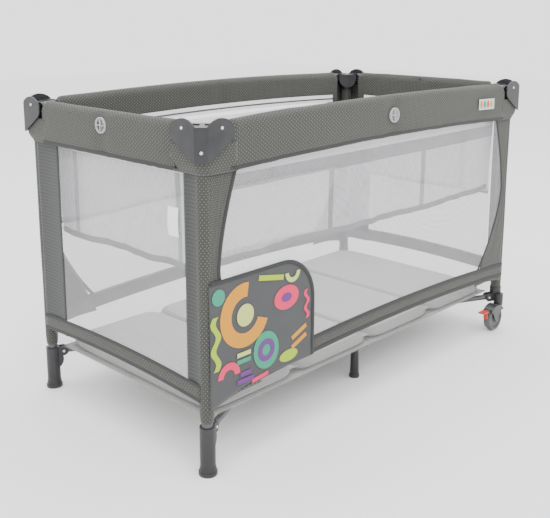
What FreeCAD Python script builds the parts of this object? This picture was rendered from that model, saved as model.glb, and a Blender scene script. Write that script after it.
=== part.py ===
import FreeCAD, Part
import math
import os

# Travel play yard: a folding frame of four posts, hinged rails and hinged struts,
# dressed with fabric walls, a padded rail, a hanging liner and a folding mattress.
# Millimetres. Origin on the floor under the centre, +X along the length, +Z up,
# the long front side faces -Y. The two castered posts are on the right (+X).

V = FreeCAD.Vector
Z_AXIS = V(0, 0, 1)

DIMS = {
    # corner posts
    "post_x": 595, "post_y": 305, "post_radius": 12, "post_wall": 1.5, "post_top": 748,
    "post_low_left": 40, "post_low_right": 106,
    # folding rails: pivots stand inward of the posts and above the tubes
    "pivot_inset": 42, "rail_out": 10, "pivot_z": 742, "tube_drop": 12, "rail_radius": 9,
    "rail_wall": 1.2, "tongue_width": 8, "tongue_radius": 12, "tube_start": 14, "plug_length": 6,
    "plug_step": 2, "end_solid": 12, "pin_radius": 3,
    "pin_gap": 0.05, "ear_gap": 0.35, "ear_wall": 6.5, "drill_length": 40,
    # corner brackets
    "socket_wall": 4, "socket_low": 700, "plate_root": 8, "flap_radius": 28, "flap_wall": 4,
    # lock at the middle of each rail
    "lock_length": 67, "lock_width": 24, "lock_height": 34, "lock_floor_z": 711,
    "tube_seat": 58, "button_x": 34, "button_radius": 8, "button_proud": 3.7, "button_depth": 14,
    # diagonal struts and the centre hub
    "strut_z": 97, "strut_radius": 8, "strut_wall": 1.2, "strut_tongue": 12, "foot_reach": 27,
    "plate_wall": 4, "hub_length": 96, "hub_width": 120, "hub_plate": 5, "hub_plate_z": 107,
    # side tubes, their clips and the side hubs with the middle legs
    "clip_share": 0.64, "clip_reach": 26, "head_radius": 6, "head_height": 3, "side_y": 226,
    "side_radius": 7, "side_pivot_x": 30,
    "side_hub_length": 92, "side_hub_depth": 36, "side_ear_height": 24, "leg_top_radius": 10,
    "leg_foot_radius": 13.5,
    # feet
    "boot_radius": 17, "boot_top": 110, "sole_radius": 20.5, "sole_height": 8,
    "caster_boot_low": 85, "caster_boot_top": 130,
    # casters
    "swivel_x": 590, "swivel_y": 320, "trail": 28, "wheel_radius": 38, "wheel_width": 23,
    "stem_radius": 5, "stem_top": 104, "crown_radius": 14, "crown_low": 74, "boss_gap": 0.4,
    "fender_gap": 2.5, "fender_wall": 3, "fork_width": 31,
    "cheek_wall": 3, "lug_radius": 5, "lug_wall": 4, "lug_reach": 14,
    # brakes
    "brake_back": 40, "brake_rise": 30, "brake_width": 12, "brake_pin_radius": 2,
    "pedal_length": 25, "pedal_width": 22, "pedal_wall": 4.5, "shoe_height": 22, "shoe_wall": 4,
    # fabric
    "cover_thick": 40, "cover_low": 660, "cover_top": 759, "cover_arch": 11, "cover_end": 539,
    "cover_short_end": 249, "cover_skin": 4, "wall_thick": 4, "wall_low": 166, "wall_top": 659,
    "wall_arch": 22, "floor_z": 112.5, "floor_thick": 2.5, "floor_x": 574, "floor_y": 284,
    "liner_low": 452, "liner_top": 658, "liner_x": 566, "liner_y": 288, "liner_thick": 3,
    "mattress_z": 115.3, "mattress_thick": 25, "mattress_x": 562, "mattress_y": 278,
    "seam_gap": 8, "seam_thick": 3,
}

doc = FreeCAD.newDocument("play_yard")
sheet = doc.addObject("Spreadsheet::Sheet", "dims")
for row, (alias, size) in enumerate(DIMS.items(), start=1):
    sheet.set(f"A{row}", alias)
    sheet.set(f"B{row}", str(size))
    sheet.setAlias(f"B{row}", alias)
doc.recompute()


def dim(alias):
    """The value of one driving dimension."""
    return float(sheet.get(alias))


def bind(obj, **sizes):
    """Tie an object's sizes to expressions over the sheet's cells."""
    for prop, text in sizes.items():
        words = [f"dims.{w}" if w in DIMS else w for w in text.split()]
        obj.setExpression(prop, " ".join(words))
    return obj


def turn(degrees, axis=Z_AXIS):
    return FreeCAD.Rotation(axis, degrees)


def place(obj, x=0.0, y=0.0, z=0.0, rotation=None):
    obj.Placement = FreeCAD.Placement(V(x, y, z), rotation or FreeCAD.Rotation())
    return obj


def cylinder(name, radius, height, x=0.0, y=0.0, z=0.0, axis=Z_AXIS):
    """A cylinder from a base point along an axis; radius and height are expressions."""
    obj = bind(doc.addObject("Part::Cylinder", name), Radius=radius, Height=height)
    return place(obj, x, y, z, FreeCAD.Rotation(Z_AXIS, axis))


def cone(name, low, high, height, x=0.0, y=0.0, z=0.0):
    obj = bind(doc.addObject("Part::Cone", name), Radius1=low, Radius2=high, Height=height)
    return place(obj, x, y, z)


def box(name, length, width, height, x=0.0, y=0.0, z=0.0):
    """A box centred on x and y, standing on z; its sizes are expressions."""
    obj = bind(doc.addObject("Part::Box", name), Length=length, Width=width, Height=height)
    doc.recompute()
    return place(obj, x - obj.Length.Value / 2, y - obj.Width.Value / 2, z)


def fuse(name, pieces):
    obj = doc.addObject("Part::MultiFuse", name)
    obj.Shapes = pieces
    obj.Refine = True
    return obj


def cut(name, base, tool):
    obj = doc.addObject("Part::Cut", name)
    obj.Base, obj.Tool = base, tool
    obj.Refine = True
    return obj


def common(name, first, second):
    obj = doc.addObject("Part::MultiCommon", name)
    obj.Shapes = [first, second]
    return obj


def rounded(name, base, radius, wanted):
    """Fillet the edges of a solid that the test picks."""
    doc.recompute()
    obj = doc.addObject("Part::Fillet", name)
    obj.Base = base
    edges = [n for n, e in enumerate(base.Shape.Edges, start=1) if wanted(e)]
    obj.Edges = [(n, radius, radius) for n in edges]
    return obj


def mirror(name, source, normal):
    obj = doc.addObject("Part::Mirroring", name)
    obj.Source, obj.Normal = source, normal
    return obj


def outline(body, name, plane, edges, offset=0.0):
    """A sketch on one of the body's origin planes; each edge is two or three points."""
    sketch = body.newObject("Sketcher::SketchObject", name)
    origin = next(f for f in body.Origin.OriginFeatures if f.Role == plane)
    sketch.AttachmentSupport = (origin, "")
    sketch.MapMode = "FlatFace"
    sketch.AttachmentOffset = FreeCAD.Placement(V(0, 0, offset), FreeCAD.Rotation())
    for edge in edges:
        points = [V(u, v, 0) for u, v in edge]
        if len(points) == 3:
            curve = Part.Arc(*points)
            sketch.addGeometry(Part.ArcOfCircle(curve.toShape().Curve, curve.FirstParameter,
                                                curve.LastParameter), False)
        else:
            sketch.addGeometry(Part.LineSegment(*points), False)
    return sketch


def ring(points):
    """Straight edges round a closed outline."""
    return list(zip(points, points[1:] + points[:1]))


def pad(body, sketch, length, symmetric=False):
    feature = body.newObject("PartDesign::Pad", sketch.Name + "_pad")
    feature.Profile = sketch
    if symmetric:
        feature.SideType = "Symmetric"
    bind(feature, Length=length)
    return feature


nodes = []


def subpart(label, obj):
    """Give a finished piece its label and list it for export."""
    obj.Label = label
    nodes.append(obj)
    return obj


def every_corner():
    """Corner name with its signs along X and Y."""
    return [("fl", -1, -1), ("fr", 1, -1), ("rl", -1, 1), ("rr", 1, 1)]


rail_run = dim("post_x") - dim("pivot_inset")
side_run = dim("post_y") - dim("pivot_inset")
strut_run = math.hypot(rail_run, side_run)
strut_turn = math.degrees(math.atan2(side_run, rail_run))
along = V(rail_run / strut_run, side_run / strut_run, 0)
foot_pivot = V(dim("post_x"), dim("post_y"), dim("strut_z")) - along * dim("foot_reach")
hub_pivot = foot_pivot - V(rail_run, side_run, 0)


# Posts: steel tubes, one at each corner, capped by the corner bracket.
def post_tube(corner, sx, sy):
    low = "post_low_left" if sx < 0 else "post_low_right"
    at = {"x": sx * dim("post_x"), "y": sy * dim("post_y"), "z": dim(low)}
    outer = cylinder(f"post_outer_{corner}", "post_radius", f"post_top - {low}", **at)
    inner = cylinder(f"post_inner_{corner}", "post_radius - post_wall", f"post_top - {low}", **at)
    subpart(f"post_tube_{corner}", cut(f"post_{corner}", outer, inner))


# Corner bracket: one moulding with two lobed wings outside the rail covers, a ridge
# between them, a socket on the post, a cap, an inner flap and a clevis for each rail.
wing_face = 34.0
wing_wall = 3.7
ridge_width = 20.0
wing_end = 55.0
ridge_low, ridge_top, lobe_top = 680.0, 752.0, 767.0
cap_low = 748.0
button_z = 728.0


def wing_outline():
    """One wing seen square on, from the ridge to its lobed end."""
    start = -wing_face + ridge_width
    corner = [(start, ridge_low), (start + 46, 708), (wing_end - 3, 722)]
    end = [(wing_end - 3, 722), (wing_end + 2, 742), (wing_end - 14, 762)]
    top = [(wing_end - 14, 762), (14, lobe_top), (start, ridge_top)]
    side = [(start, ridge_top), (start, ridge_low)]
    return [corner, end, top, side]


def rail_ears(name):
    """Two ears and their pin for one rail, pointing along +X from the socket."""
    half = dim("tongue_width") / 2 + dim("ear_gap")
    y = -dim("rail_out")
    reach, level = dim("pivot_inset"), dim("pivot_z")
    pieces = []
    for side in (-1, 1):
        low = y + half if side > 0 else y - half - dim("ear_wall")
        tip = cylinder(f"{name}_tip{side}", "tongue_radius", "ear_wall", reach, low, level,
                       V(0, 1, 0))
        arm = bind(doc.addObject("Part::Box", f"{name}_arm{side}"), Length="pivot_inset - plate_root",
                   Width="ear_wall", Height="2 * tongue_radius")
        place(arm, dim("plate_root"), low, level - dim("tongue_radius"))
        pieces += [tip, arm]
    pin = cylinder(f"{name}_pin", "pin_radius", "tongue_width + 2 * ear_gap + 2 * ear_wall",
                   reach, y - half - dim("ear_wall"), level, V(0, 1, 0))
    return pieces + [pin]


def bracket_shell(corner):
    """The two wings, the ridge and the cap as one padded body."""
    body = doc.addObject("PartDesign::Body", f"bracket_shell_{corner}")
    start = -wing_face + ridge_width
    inner = -wing_face + wing_wall
    slant = wing_wall * math.tan(math.radians(22.5))
    front = outline(body, f"front_wing_{corner}", "XZ_Plane", wing_outline(), -inner)
    pad(body, front, f"{wing_wall}")
    side = outline(body, f"side_wing_{corner}", "YZ_Plane", wing_outline(), -wing_face)
    pad(body, side, f"{wing_wall}")
    ridge = [(start, -wing_face), (start + slant, inner), (inner, start + slant), (-wing_face, start)]
    pad(body, outline(body, f"ridge_{corner}", "XY_Plane", ring(ridge), ridge_low),
        f"{ridge_top - ridge_low}")
    cap = [(start, -wing_face), (28, -wing_face), (28, 3), (44, 8), (8, 44), (3, 28),
           (-wing_face, 28), (-wing_face, start)]
    pad(body, outline(body, f"cap_{corner}", "XY_Plane", ring(cap), cap_low),
        f"{ridge_top - cap_low}")
    return body


flap_rise = 16.0
flap_inset = 26.0


def inner_flap(corner):
    """A half-round flap on the inside of the corner, square to its diagonal."""
    disc = cylinder(f"flap_disc_{corner}", "flap_radius", "flap_wall")
    top = box(f"flap_box_{corner}", "2 * flap_radius", f"{flap_rise}", "flap_wall", 0, flap_rise / 2)
    whole = fuse(f"flap_{corner}", [disc, top])
    above = 2 * dim("flap_radius")
    lid = box(f"flap_lid_{corner}", "3 * flap_radius", f"{above}", "3 * flap_wall",
              0, flap_rise + above / 2, -dim("flap_wall"))
    flap = cut(f"flap_cut_{corner}", whole, lid)
    upright = turn(-45).multiply(FreeCAD.Rotation(V(1, 0, 0), 90))
    return place(flap, flap_inset, flap_inset, ridge_top - flap_rise, upright)


def corner_bracket(corner, sx, sy):
    body = bracket_shell(corner)
    socket = cylinder(f"socket_{corner}", "post_radius + socket_wall", f"{ridge_top} - socket_low",
                      z=dim("socket_low"))
    long_ears = rail_ears(f"long_ears_{corner}")
    short_ears = [mirror(f"{p.Name}_turned", p, V(1, -1, 0))
                  for p in rail_ears(f"short_ears_{corner}")]
    pieces = [body, socket, inner_flap(corner)] + long_ears + short_ears
    whole = fuse(f"bracket_whole_{corner}", pieces)
    bore_low = dim("socket_low") - 10
    bore = cylinder(f"post_bore_{corner}", "post_radius + pin_gap", f"{cap_low - bore_low}",
                    z=bore_low)
    bracket = cut(f"bracket_{corner}", whole, bore)
    quarter = {"fl": 0, "fr": 90, "rr": 180, "rl": 270}[corner]
    subpart(f"corner_bracket_{corner}",
            place(bracket, sx * dim("post_x"), sy * dim("post_y"), 0, turn(quarter)))


# Rail halves: steel tube with a flat tongue at each pivot; the first half of each rail
# ends in the lock housing instead of a tongue.
def tongue(name, x, out):
    """A pivot tongue: a plate about the pivot that runs into the tube as a plug."""
    level, axis_z = dim("pivot_z"), dim("pivot_z") - dim("tube_drop")
    width = dim("tongue_width")
    eye = cylinder(f"{name}_eye", "tongue_radius", "tongue_width", x, -width / 2, level, V(0, 1, 0))
    reach = dim("tube_start") + dim("plug_length")
    plate = bind(doc.addObject("Part::Box", f"{name}_plate"), Length="tube_start + plug_length",
                 Width="tongue_width", Height="tongue_radius + rail_radius - 1")
    place(plate, x if out > 0 else x - reach, -width / 2, axis_z - dim("rail_radius") + 1)
    return [eye, plate]


def cross_hole(name, x, level):
    """A pin hole through a tongue, along Y."""
    return cylinder(name, "pin_radius + pin_gap", "drill_length", x, -dim("drill_length") / 2,
                    level, V(0, 1, 0))


def rail_half(name, run, first):
    """One rail half along +X from the middle of the rail, at its own height."""
    start = dim("tube_seat") if first else dim("tube_start")
    axis_z = dim("pivot_z") - dim("tube_drop")
    length = run - dim("tube_start") - start
    outer = cylinder(f"{name}_outer", "rail_radius", f"{length}", start, 0, axis_z, V(1, 0, 0))
    inner = cylinder(f"{name}_inner", "rail_radius - rail_wall", f"{length} - 2 * end_solid",
                     start + (0 if first else dim("end_solid")), 0, axis_z, V(1, 0, 0))
    pieces = [cut(f"{name}_tube", outer, inner)] + tongue(f"{name}_end", run, -1)
    holes = [cross_hole(f"{name}_eye_hole", run, dim("pivot_z"))]
    if not first:
        pieces += tongue(f"{name}_mid", 0, 1)
        holes.append(cross_hole(f"{name}_mid_hole", 0, dim("pivot_z")))
    whole = fuse(f"{name}_whole", pieces)
    drill = fuse(f"{name}_drill", holes) if len(holes) > 1 else holes[0]
    return cut(f"{name}_half", whole, drill)


lock_edge = 3.0
button_edge = 1.2


def lock_housing(name, outward):
    """The lock block on the first half: tube seat, button pocket and two hinge ears."""
    half = dim("tongue_width") / 2 + dim("ear_gap")
    wall = dim("lock_width") / 2 - half
    block = bind(doc.addObject("Part::Box", f"{name}_block"), Length="lock_length",
                 Width="lock_width", Height="lock_height")
    place(block, dim("tube_start") - 1, -dim("lock_width") / 2, dim("lock_floor_z"))
    pieces = [rounded(f"{name}_soft", block, lock_edge, lambda e: abs(e.tangentAt(0).x) > 0.9)]
    for side in (-1, 1):
        low = half if side > 0 else -half - wall
        pieces.append(cylinder(f"{name}_ear_{side + 1}", "tongue_radius", f"{wall}", 0, low,
                               dim("pivot_z"), V(0, 1, 0)))
        arm = bind(doc.addObject("Part::Box", f"{name}_arm_{side + 1}"), Length="tube_start + 4",
                   Width=f"{wall}", Height="tongue_radius + 2")
        pieces.append(place(arm, 0, low, dim("pivot_z") - dim("tongue_radius")))
    pieces.append(cylinder(f"{name}_pin", "pin_radius", "lock_width", 0, -dim("lock_width") / 2,
                           dim("pivot_z"), V(0, 1, 0)))
    whole = fuse(f"{name}_whole", pieces)
    seat = cylinder(f"{name}_seat", "rail_radius + pin_gap", "lock_length", dim("tube_seat"), 0,
                    dim("pivot_z") - dim("tube_drop"), V(1, 0, 0))
    bottom = dim("lock_width") / 2 - dim("button_depth")
    pocket = cylinder(f"{name}_pocket", "button_radius + 0.1", "button_depth + 1",
                      dim("button_x"), outward * bottom, button_z, V(0, outward, 0))
    return cut(f"{name}_lock", whole, fuse(f"{name}_hollows", [seat, pocket]))


def release_button(name, outward):
    """A round push button that stands proud of its pocket."""
    bottom = dim("lock_width") / 2 - dim("button_depth") + dim("button_proud")
    stem = cylinder(f"{name}_stem", "button_radius", "button_depth", dim("button_x"),
                    outward * bottom, button_z, V(0, outward, 0))
    face = bottom + dim("button_depth")
    return rounded(f"{name}_soft", stem, button_edge,
                   lambda e: abs(e.CenterOfMass.y - outward * face) < 0.01)


def rail_group(name, x, y, first_turn, outward, run):
    """Both halves, the lock and its button of one rail, turned to its side of the yard."""
    first, second = turn(first_turn), turn(first_turn + 180)
    subpart(f"rail_{name}_a", place(rail_half(f"{name}_a", run, True), x, y, 0, first))
    subpart(f"rail_{name}_b", place(rail_half(f"{name}_b", run, False), x, y, 0, second))
    subpart(f"lock_{name}", place(lock_housing(name, outward), x, y, 0, first))
    subpart(f"release_button_{name}",
            place(release_button(f"button_{name}", outward), x, y, 0, first))


# Struts: diagonal tubes from each foot to the centre hub, with a flat tongue at each pivot.
def strut_tongue(name, x, out):
    width, level = dim("strut_tongue"), dim("strut_z")
    eye = cylinder(f"{name}_eye", "strut_radius", "strut_tongue", x, -width / 2, level, V(0, 1, 0))
    reach = dim("tube_start") + dim("plug_length")
    plate = bind(doc.addObject("Part::Box", f"{name}_plate"), Length="tube_start + plug_length",
                 Width="strut_tongue", Height="2 * strut_radius - 2 * plug_step")
    return [eye, place(plate, x if out > 0 else x - reach, -width / 2,
                       level - dim("strut_radius") + dim("plug_step"))]


def strut(corner, sx, sy):
    """A strut along local +X from the hub pivot; the clip pin crosses it part way."""
    start, level = dim("tube_start"), dim("strut_z")
    length = strut_run - 2 * start
    outer = cylinder(f"strut_outer_{corner}", "strut_radius", f"{length}", start, 0, level,
                     V(1, 0, 0))
    inner = cylinder(f"strut_inner_{corner}", "strut_radius - strut_wall",
                     f"{length} - 2 * end_solid", start + dim("end_solid"), 0, level, V(1, 0, 0))
    pieces = [cut(f"strut_tube_{corner}", outer, inner)]
    pieces += strut_tongue(f"strut_hub_end_{corner}", 0, 1)
    pieces += strut_tongue(f"strut_foot_end_{corner}", strut_run, -1)
    places = [0, dim("clip_share") * strut_run, strut_run]
    holes = [cross_hole(f"strut_hole_{corner}_{n}", x, level) for n, x in enumerate(places)]
    whole = cut(f"strut_{corner}", fuse(f"strut_whole_{corner}", pieces),
                fuse(f"strut_drill_{corner}", holes))
    heading = math.degrees(math.atan2(sy * side_run, sx * rail_run))
    subpart(f"strut_{corner}", place(whole, sx * hub_pivot.x, sy * hub_pivot.y, 0, turn(heading)))


# Centre hub: a plate on four clevises, one over the inner end of each strut.
def clevis(name, x, y, low, heading, back):
    """Two ears and their pin for a strut tongue; the ears run back from the pivot."""
    half = dim("strut_tongue") / 2 + dim("ear_gap")
    wall, level, radius = dim("plate_wall"), dim("strut_z"), dim("tongue_radius")
    pieces = []
    for side in (-1, 1):
        start = half if side > 0 else -half - wall
        tip = cylinder(f"{name}_tip_{side + 1}", "tongue_radius", "plate_wall", 0, start, level,
                       V(0, 1, 0))
        arm = bind(doc.addObject("Part::Box", f"{name}_arm_{side + 1}"), Length=f"{back[1]}",
                   Width="plate_wall", Height=f"{level + radius - low}")
        pieces += [tip, place(arm, back[0], start, low)]
    pieces.append(cylinder(f"{name}_pin", "pin_radius", f"{2 * (half + wall)}", 0, -half - wall,
                           level, V(0, 1, 0)))
    return place(fuse(name, pieces), x, y, 0, turn(heading))


hub_corner = 18.0


def centre_hub():
    plate = box("hub_plate_blank", "hub_length", "hub_width", "hub_plate", z=dim("hub_plate_z"))
    pieces = [rounded("hub_plate_soft", plate, hub_corner, lambda e: abs(e.tangentAt(0).z) > 0.9)]
    reach = dim("tongue_radius")
    for corner, sx, sy in every_corner():
        heading = math.degrees(math.atan2(sy * side_run, sx * rail_run))
        pieces.append(clevis(f"hub_clevis_{corner}", sx * hub_pivot.x, sy * hub_pivot.y,
                             dim("strut_z"), heading, (-reach, 2 * reach)))
    subpart("centre_hub", fuse("hub_whole", pieces))


# Clips: each carries one side tube outboard of a strut on two crossed pins.
def clip_master():
    """The clip at +X +Y, level with the struts."""
    level, wall = dim("strut_z"), dim("plate_wall")
    knuckle = hub_pivot + V(rail_run, side_run, 0) * dim("clip_share")
    side_pin_x = dim("side_pivot_x") + dim("clip_share") * rail_run
    inner = dim("strut_radius") + dim("ear_gap")
    plate = cylinder("clip_disc", "tongue_radius", "plate_wall", 0, inner, level, V(0, 1, 0))
    arm = bind(doc.addObject("Part::Box", "clip_arm"), Length="clip_reach", Width="plate_wall",
               Height="2 * tongue_radius - 4")
    place(arm, 0, inner, level - dim("tongue_radius") + 2)
    head_face = -inner - dim("head_height")
    pin = cylinder("clip_pin", "pin_radius", f"{2 * inner} + head_height", 0, head_face, level,
                   V(0, 1, 0))
    head = cylinder("clip_head", "head_radius", "head_height", 0, head_face, level, V(0, 1, 0))
    across = fuse("clip_across", [plate, arm, pin, head])
    place(across, knuckle.x, knuckle.y, 0, turn(strut_turn))
    tongue_half = dim("tongue_width") / 2 + dim("ear_gap")
    face = dim("side_y") - tongue_half - wall
    disc = cylinder("clip_side_disc", "tongue_radius - 4", "plate_wall", side_pin_x, face, level,
                    V(0, 1, 0))
    side_pin = cylinder("clip_side_pin", "pin_radius", f"{wall + 2 * tongue_half} + head_height",
                        side_pin_x, face, level, V(0, 1, 0))
    side_head = cylinder("clip_side_head", "head_radius", "head_height", side_pin_x,
                         dim("side_y") + tongue_half, level, V(0, 1, 0))
    return fuse("clip_master", [across, disc, side_pin, side_head])


def mirrored_set(label, master, corners):
    """Copies of a piece made at +X +Y, one for each corner asked for."""
    for corner, sx, sy in corners:
        copy = master
        if sx < 0:
            copy = mirror(f"{label}_{corner}_along", copy, V(1, 0, 0))
        if sy < 0:
            copy = mirror(f"{label}_{corner}_across", copy, V(0, 1, 0))
        subpart(f"{label}_{corner}", copy)


def side_tube(corner, sx, sy):
    """A tube from a clip to the side hub: a tongue outboard, a cross barrel at the hub."""
    level, length = dim("strut_z"), dim("clip_share") * rail_run
    start = dim("tube_start")
    outer = cylinder(f"side_outer_{corner}", "side_radius", f"{length - start}", 0, 0, level,
                     V(1, 0, 0))
    barrel = cylinder(f"side_barrel_{corner}", "side_radius + 2", "side_hub_depth - 10", 0,
                      5 - dim("side_hub_depth") / 2, level, V(0, 1, 0))
    eye = cylinder(f"side_eye_{corner}", "side_radius", "tongue_width", length,
                   -dim("tongue_width") / 2, level, V(0, 1, 0))
    plate = bind(doc.addObject("Part::Box", f"side_plate_{corner}"), Length="tube_start + plug_length",
                 Width="tongue_width", Height="2 * side_radius - 2 * plug_step")
    place(plate, length - start - dim("plug_length"), -dim("tongue_width") / 2,
          level - dim("side_radius") + dim("plug_step"))
    holes = [cross_hole(f"side_hole_{corner}_{n}", x, level) for n, x in enumerate((0, length))]
    whole = cut(f"side_{corner}", fuse(f"side_whole_{corner}", [outer, barrel, eye, plate]),
                fuse(f"side_drill_{corner}", holes))
    heading = 0 if sx > 0 else 180
    subpart(f"side_tube_{corner}",
            place(whole, sx * dim("side_pivot_x"), sy * dim("side_y"), 0, turn(heading)))


side_top_corner = 6.0
side_ear_corner = 8.0


def side_hub(name, sy):
    """A U bracket over the inner ends of two side tubes, standing on the middle leg."""
    level, depth, wall = dim("strut_z"), dim("side_hub_depth"), dim("plate_wall")
    y = sy * dim("side_y")
    top_z = level + dim("side_radius") + 3
    top = box(f"{name}_top", "side_hub_length", "side_hub_depth", "plate_wall", 0, y, top_z)
    pieces = [rounded(f"{name}_top_soft", top, side_top_corner, lambda e: abs(e.tangentAt(0).z) > 0.9)]
    for side in (-1, 1):
        ear = box(f"{name}_ear_{side + 1}", "side_hub_length - 14", "plate_wall", "side_ear_height",
                  0, y + side * (depth - wall) / 2, top_z - dim("side_ear_height"))
        pieces.append(rounded(f"{name}_ear_soft_{side + 1}", ear, side_ear_corner,
                              lambda e: abs(e.tangentAt(0).y) > 0.9 and e.CenterOfMass.z < level))
    for end in (-1, 1):
        pieces.append(cylinder(f"{name}_pin_{end + 1}", "pin_radius", "side_hub_depth",
                               end * dim("side_pivot_x"), y - depth / 2, level, V(0, 1, 0)))
    pieces.append(cone(f"{name}_leg", "leg_foot_radius - 1.5", "leg_top_radius",
                       f"{level + 10} - sole_height", 0, y, dim("sole_height")))
    pieces.append(cylinder(f"{name}_foot", "leg_foot_radius", "sole_height", 0, y, 0))
    subpart(name, fuse(f"{name}_whole", pieces))


# Feet: a boot on each left post, with a flared sole and a flange clevis for its strut.
def foot_flange(name, low):
    """The clevis that reaches inward from a boot, deeper at the boot than at its tip."""
    reach, wall = dim("foot_reach"), dim("plate_wall")
    x, y, level = dim("post_x"), dim("post_y"), dim("strut_z")
    half = dim("strut_tongue") / 2 + dim("ear_gap")
    pieces = []
    for side in (-1, 1):
        start = half if side > 0 else -half - wall
        tip = cylinder(f"{name}_tip_{side + 1}", "tongue_radius", "plate_wall", reach, start,
                       level, V(0, 1, 0))
        arm = bind(doc.addObject("Part::Box", f"{name}_arm_{side + 1}"), Length="foot_reach",
                   Width="plate_wall", Height="2 * tongue_radius")
        place(arm, 0, start, level - dim("tongue_radius"))
        pieces += [tip, arm]
    pieces.append(cylinder(f"{name}_pin", "pin_radius", f"{2 * (half + wall)}", reach,
                           -half - wall, level, V(0, 1, 0)))
    if low < level - dim("tongue_radius"):
        web = doc.addObject("PartDesign::Body", f"{name}_web")
        edges = [[(0, low), (dim("boot_radius"), low + 8), (dim("foot_reach") - 2, level - 11)],
                 [(dim("foot_reach") - 2, level - 11), (0, level - 11)],
                 [(0, level - 11), (0, low)]]
        sketch = outline(web, f"{name}_web_outline", "XZ_Plane", edges)
        pad(web, sketch, f"{2 * (half + wall)}", symmetric=True)
        pieces.append(web)
    return place(fuse(name, pieces), x, y, 0, turn(strut_turn + 180))


def plain_foot_master():
    x, y = dim("post_x"), dim("post_y")
    column = cylinder("boot_column", "boot_radius", "boot_top - sole_height", x, y,
                      dim("sole_height"))
    flare = cone("boot_flare", "sole_radius - 1", "boot_radius", "14", x, y, dim("sole_height"))
    sole = cylinder("boot_sole", "sole_radius", "sole_height", x, y, 0)
    whole = fuse("boot_whole", [column, flare, sole, foot_flange("boot_flange", 48)])
    socket = cylinder("boot_socket", "post_radius + pin_gap", "boot_top", x, y,
                      dim("post_low_left"))
    boot = cut("boot_hollow", whole, socket)
    return mirror("boot_left", boot, V(1, 0, 0))


def caster_foot_master():
    """The right foot: a short boot with a flange and a socket for the caster's stem."""
    x, y, low = dim("post_x"), dim("post_y"), dim("caster_boot_low")
    column = cylinder("caster_boot_column", "boot_radius", "caster_boot_top - caster_boot_low",
                      x, y, low)
    boss = cylinder("caster_boss", "crown_radius", "boot_top - caster_boot_low",
                    dim("swivel_x"), dim("swivel_y"), low)
    whole = fuse("caster_boot_whole", [column, boss, foot_flange("caster_flange", 90)])
    post = cylinder("caster_post_socket", "post_radius + pin_gap", "60", x, y,
                    dim("post_low_right"))
    stem = cylinder("caster_stem_socket", "stem_radius + pin_gap", "stem_top - caster_boot_low",
                    dim("swivel_x"), dim("swivel_y"), low)
    return cut("caster_boot_hollow", whole, fuse("caster_sockets", [post, stem]))


# Casters: a fork with a fender over the wheel, a wheel on its axle and a red brake pedal.
def caster_fork_master():
    """Fender arc, two cheeks, axle, crown and stem, with the wheel trailing inward."""
    sx, sy = dim("swivel_x"), dim("swivel_y")
    wx, wz = sx - dim("trail"), dim("wheel_radius")
    inner = wz + dim("fender_gap")
    outer = inner + dim("fender_wall")
    width, wall = dim("fork_width"), dim("cheek_wall")
    drum = cylinder("fender_drum", f"{outer}", "fork_width", wx, sy - width / 2, wz, V(0, 1, 0))
    well = cylinder("fender_well", f"{inner}", f"{width - 2 * wall}", wx,
                    sy - width / 2 + wall, wz, V(0, 1, 0))
    shell = cut("fender_shell", drum, well)
    keep = doc.addObject("PartDesign::Body", "fender_keep")
    edges = [[(wx - 60, wz + 26), (wx - 27, wz + 26)], [(wx - 27, wz + 26), (wx - 9, wz - 4)],
             [(wx - 9, wz - 4), (wx, wz - 10), (wx + 9, wz - 4)],
             [(wx + 9, wz - 4), (wx + 26, wz + 22), (wx + 52, wz + 12)],
             [(wx + 52, wz + 12), (wx + 52, wz + 60)], [(wx + 52, wz + 60), (wx - 60, wz + 60)],
             [(wx - 60, wz + 60), (wx - 60, wz + 26)]]
    sketch = outline(keep, "fender_side", "XZ_Plane", edges, -sy - width)
    pad(keep, sketch, f"{2 * width}")
    fender = common("fender", shell, keep)
    crown = cylinder("fork_crown", "crown_radius", "caster_boot_low - boss_gap - crown_low",
                     sx, sy, dim("crown_low"))
    hollow = cylinder("crown_hollow", f"{inner}", f"{width - 2 * wall}", wx,
                      sy - width / 2 + wall, wz, V(0, 1, 0))
    stem_low = dim("crown_low") + 6
    stem = cylinder("fork_stem", "stem_radius", f"stem_top - 1 - {stem_low}", sx, sy, stem_low)
    axle = cylinder("fork_axle", "pin_radius", "fork_width", wx, sy - width / 2, wz, V(0, 1, 0))
    px, pz = brake_pivot()
    lugs = []
    near = dim("brake_width") / 2 + 0.5
    for side in (-1, 1):
        start = sy + (near if side > 0 else -near - dim("lug_wall"))
        lug = cylinder(f"brake_lug_{side + 1}", "lug_radius", "lug_wall", px, start, pz, V(0, 1, 0))
        arm = bind(doc.addObject("Part::Box", f"brake_arm_{side + 1}"), Length="lug_reach",
                   Width="lug_wall", Height="2 * lug_radius - 2")
        place(arm, px, start, pz - dim("lug_radius") + 1)
        lugs += [lug, arm]
    pin = cylinder("brake_pin", "brake_pin_radius", f"{2 * near} + 2 * lug_wall - 1", px,
                   sy - near - dim("lug_wall") + 0.5, pz, V(0, 1, 0))
    lugs_cut = cut("brake_lugs", fuse("brake_lugs_whole", lugs), hollow)
    return fuse("fork_whole", [cut("crown_cut", crown, hollow), fender, stem, axle, pin, lugs_cut])


def brake_pivot():
    """Where the brake pedal turns: beside the fender, inboard of the wheel."""
    return dim("swivel_x") - dim("trail") - dim("brake_back"), dim("wheel_radius") + dim("brake_rise")


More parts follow.
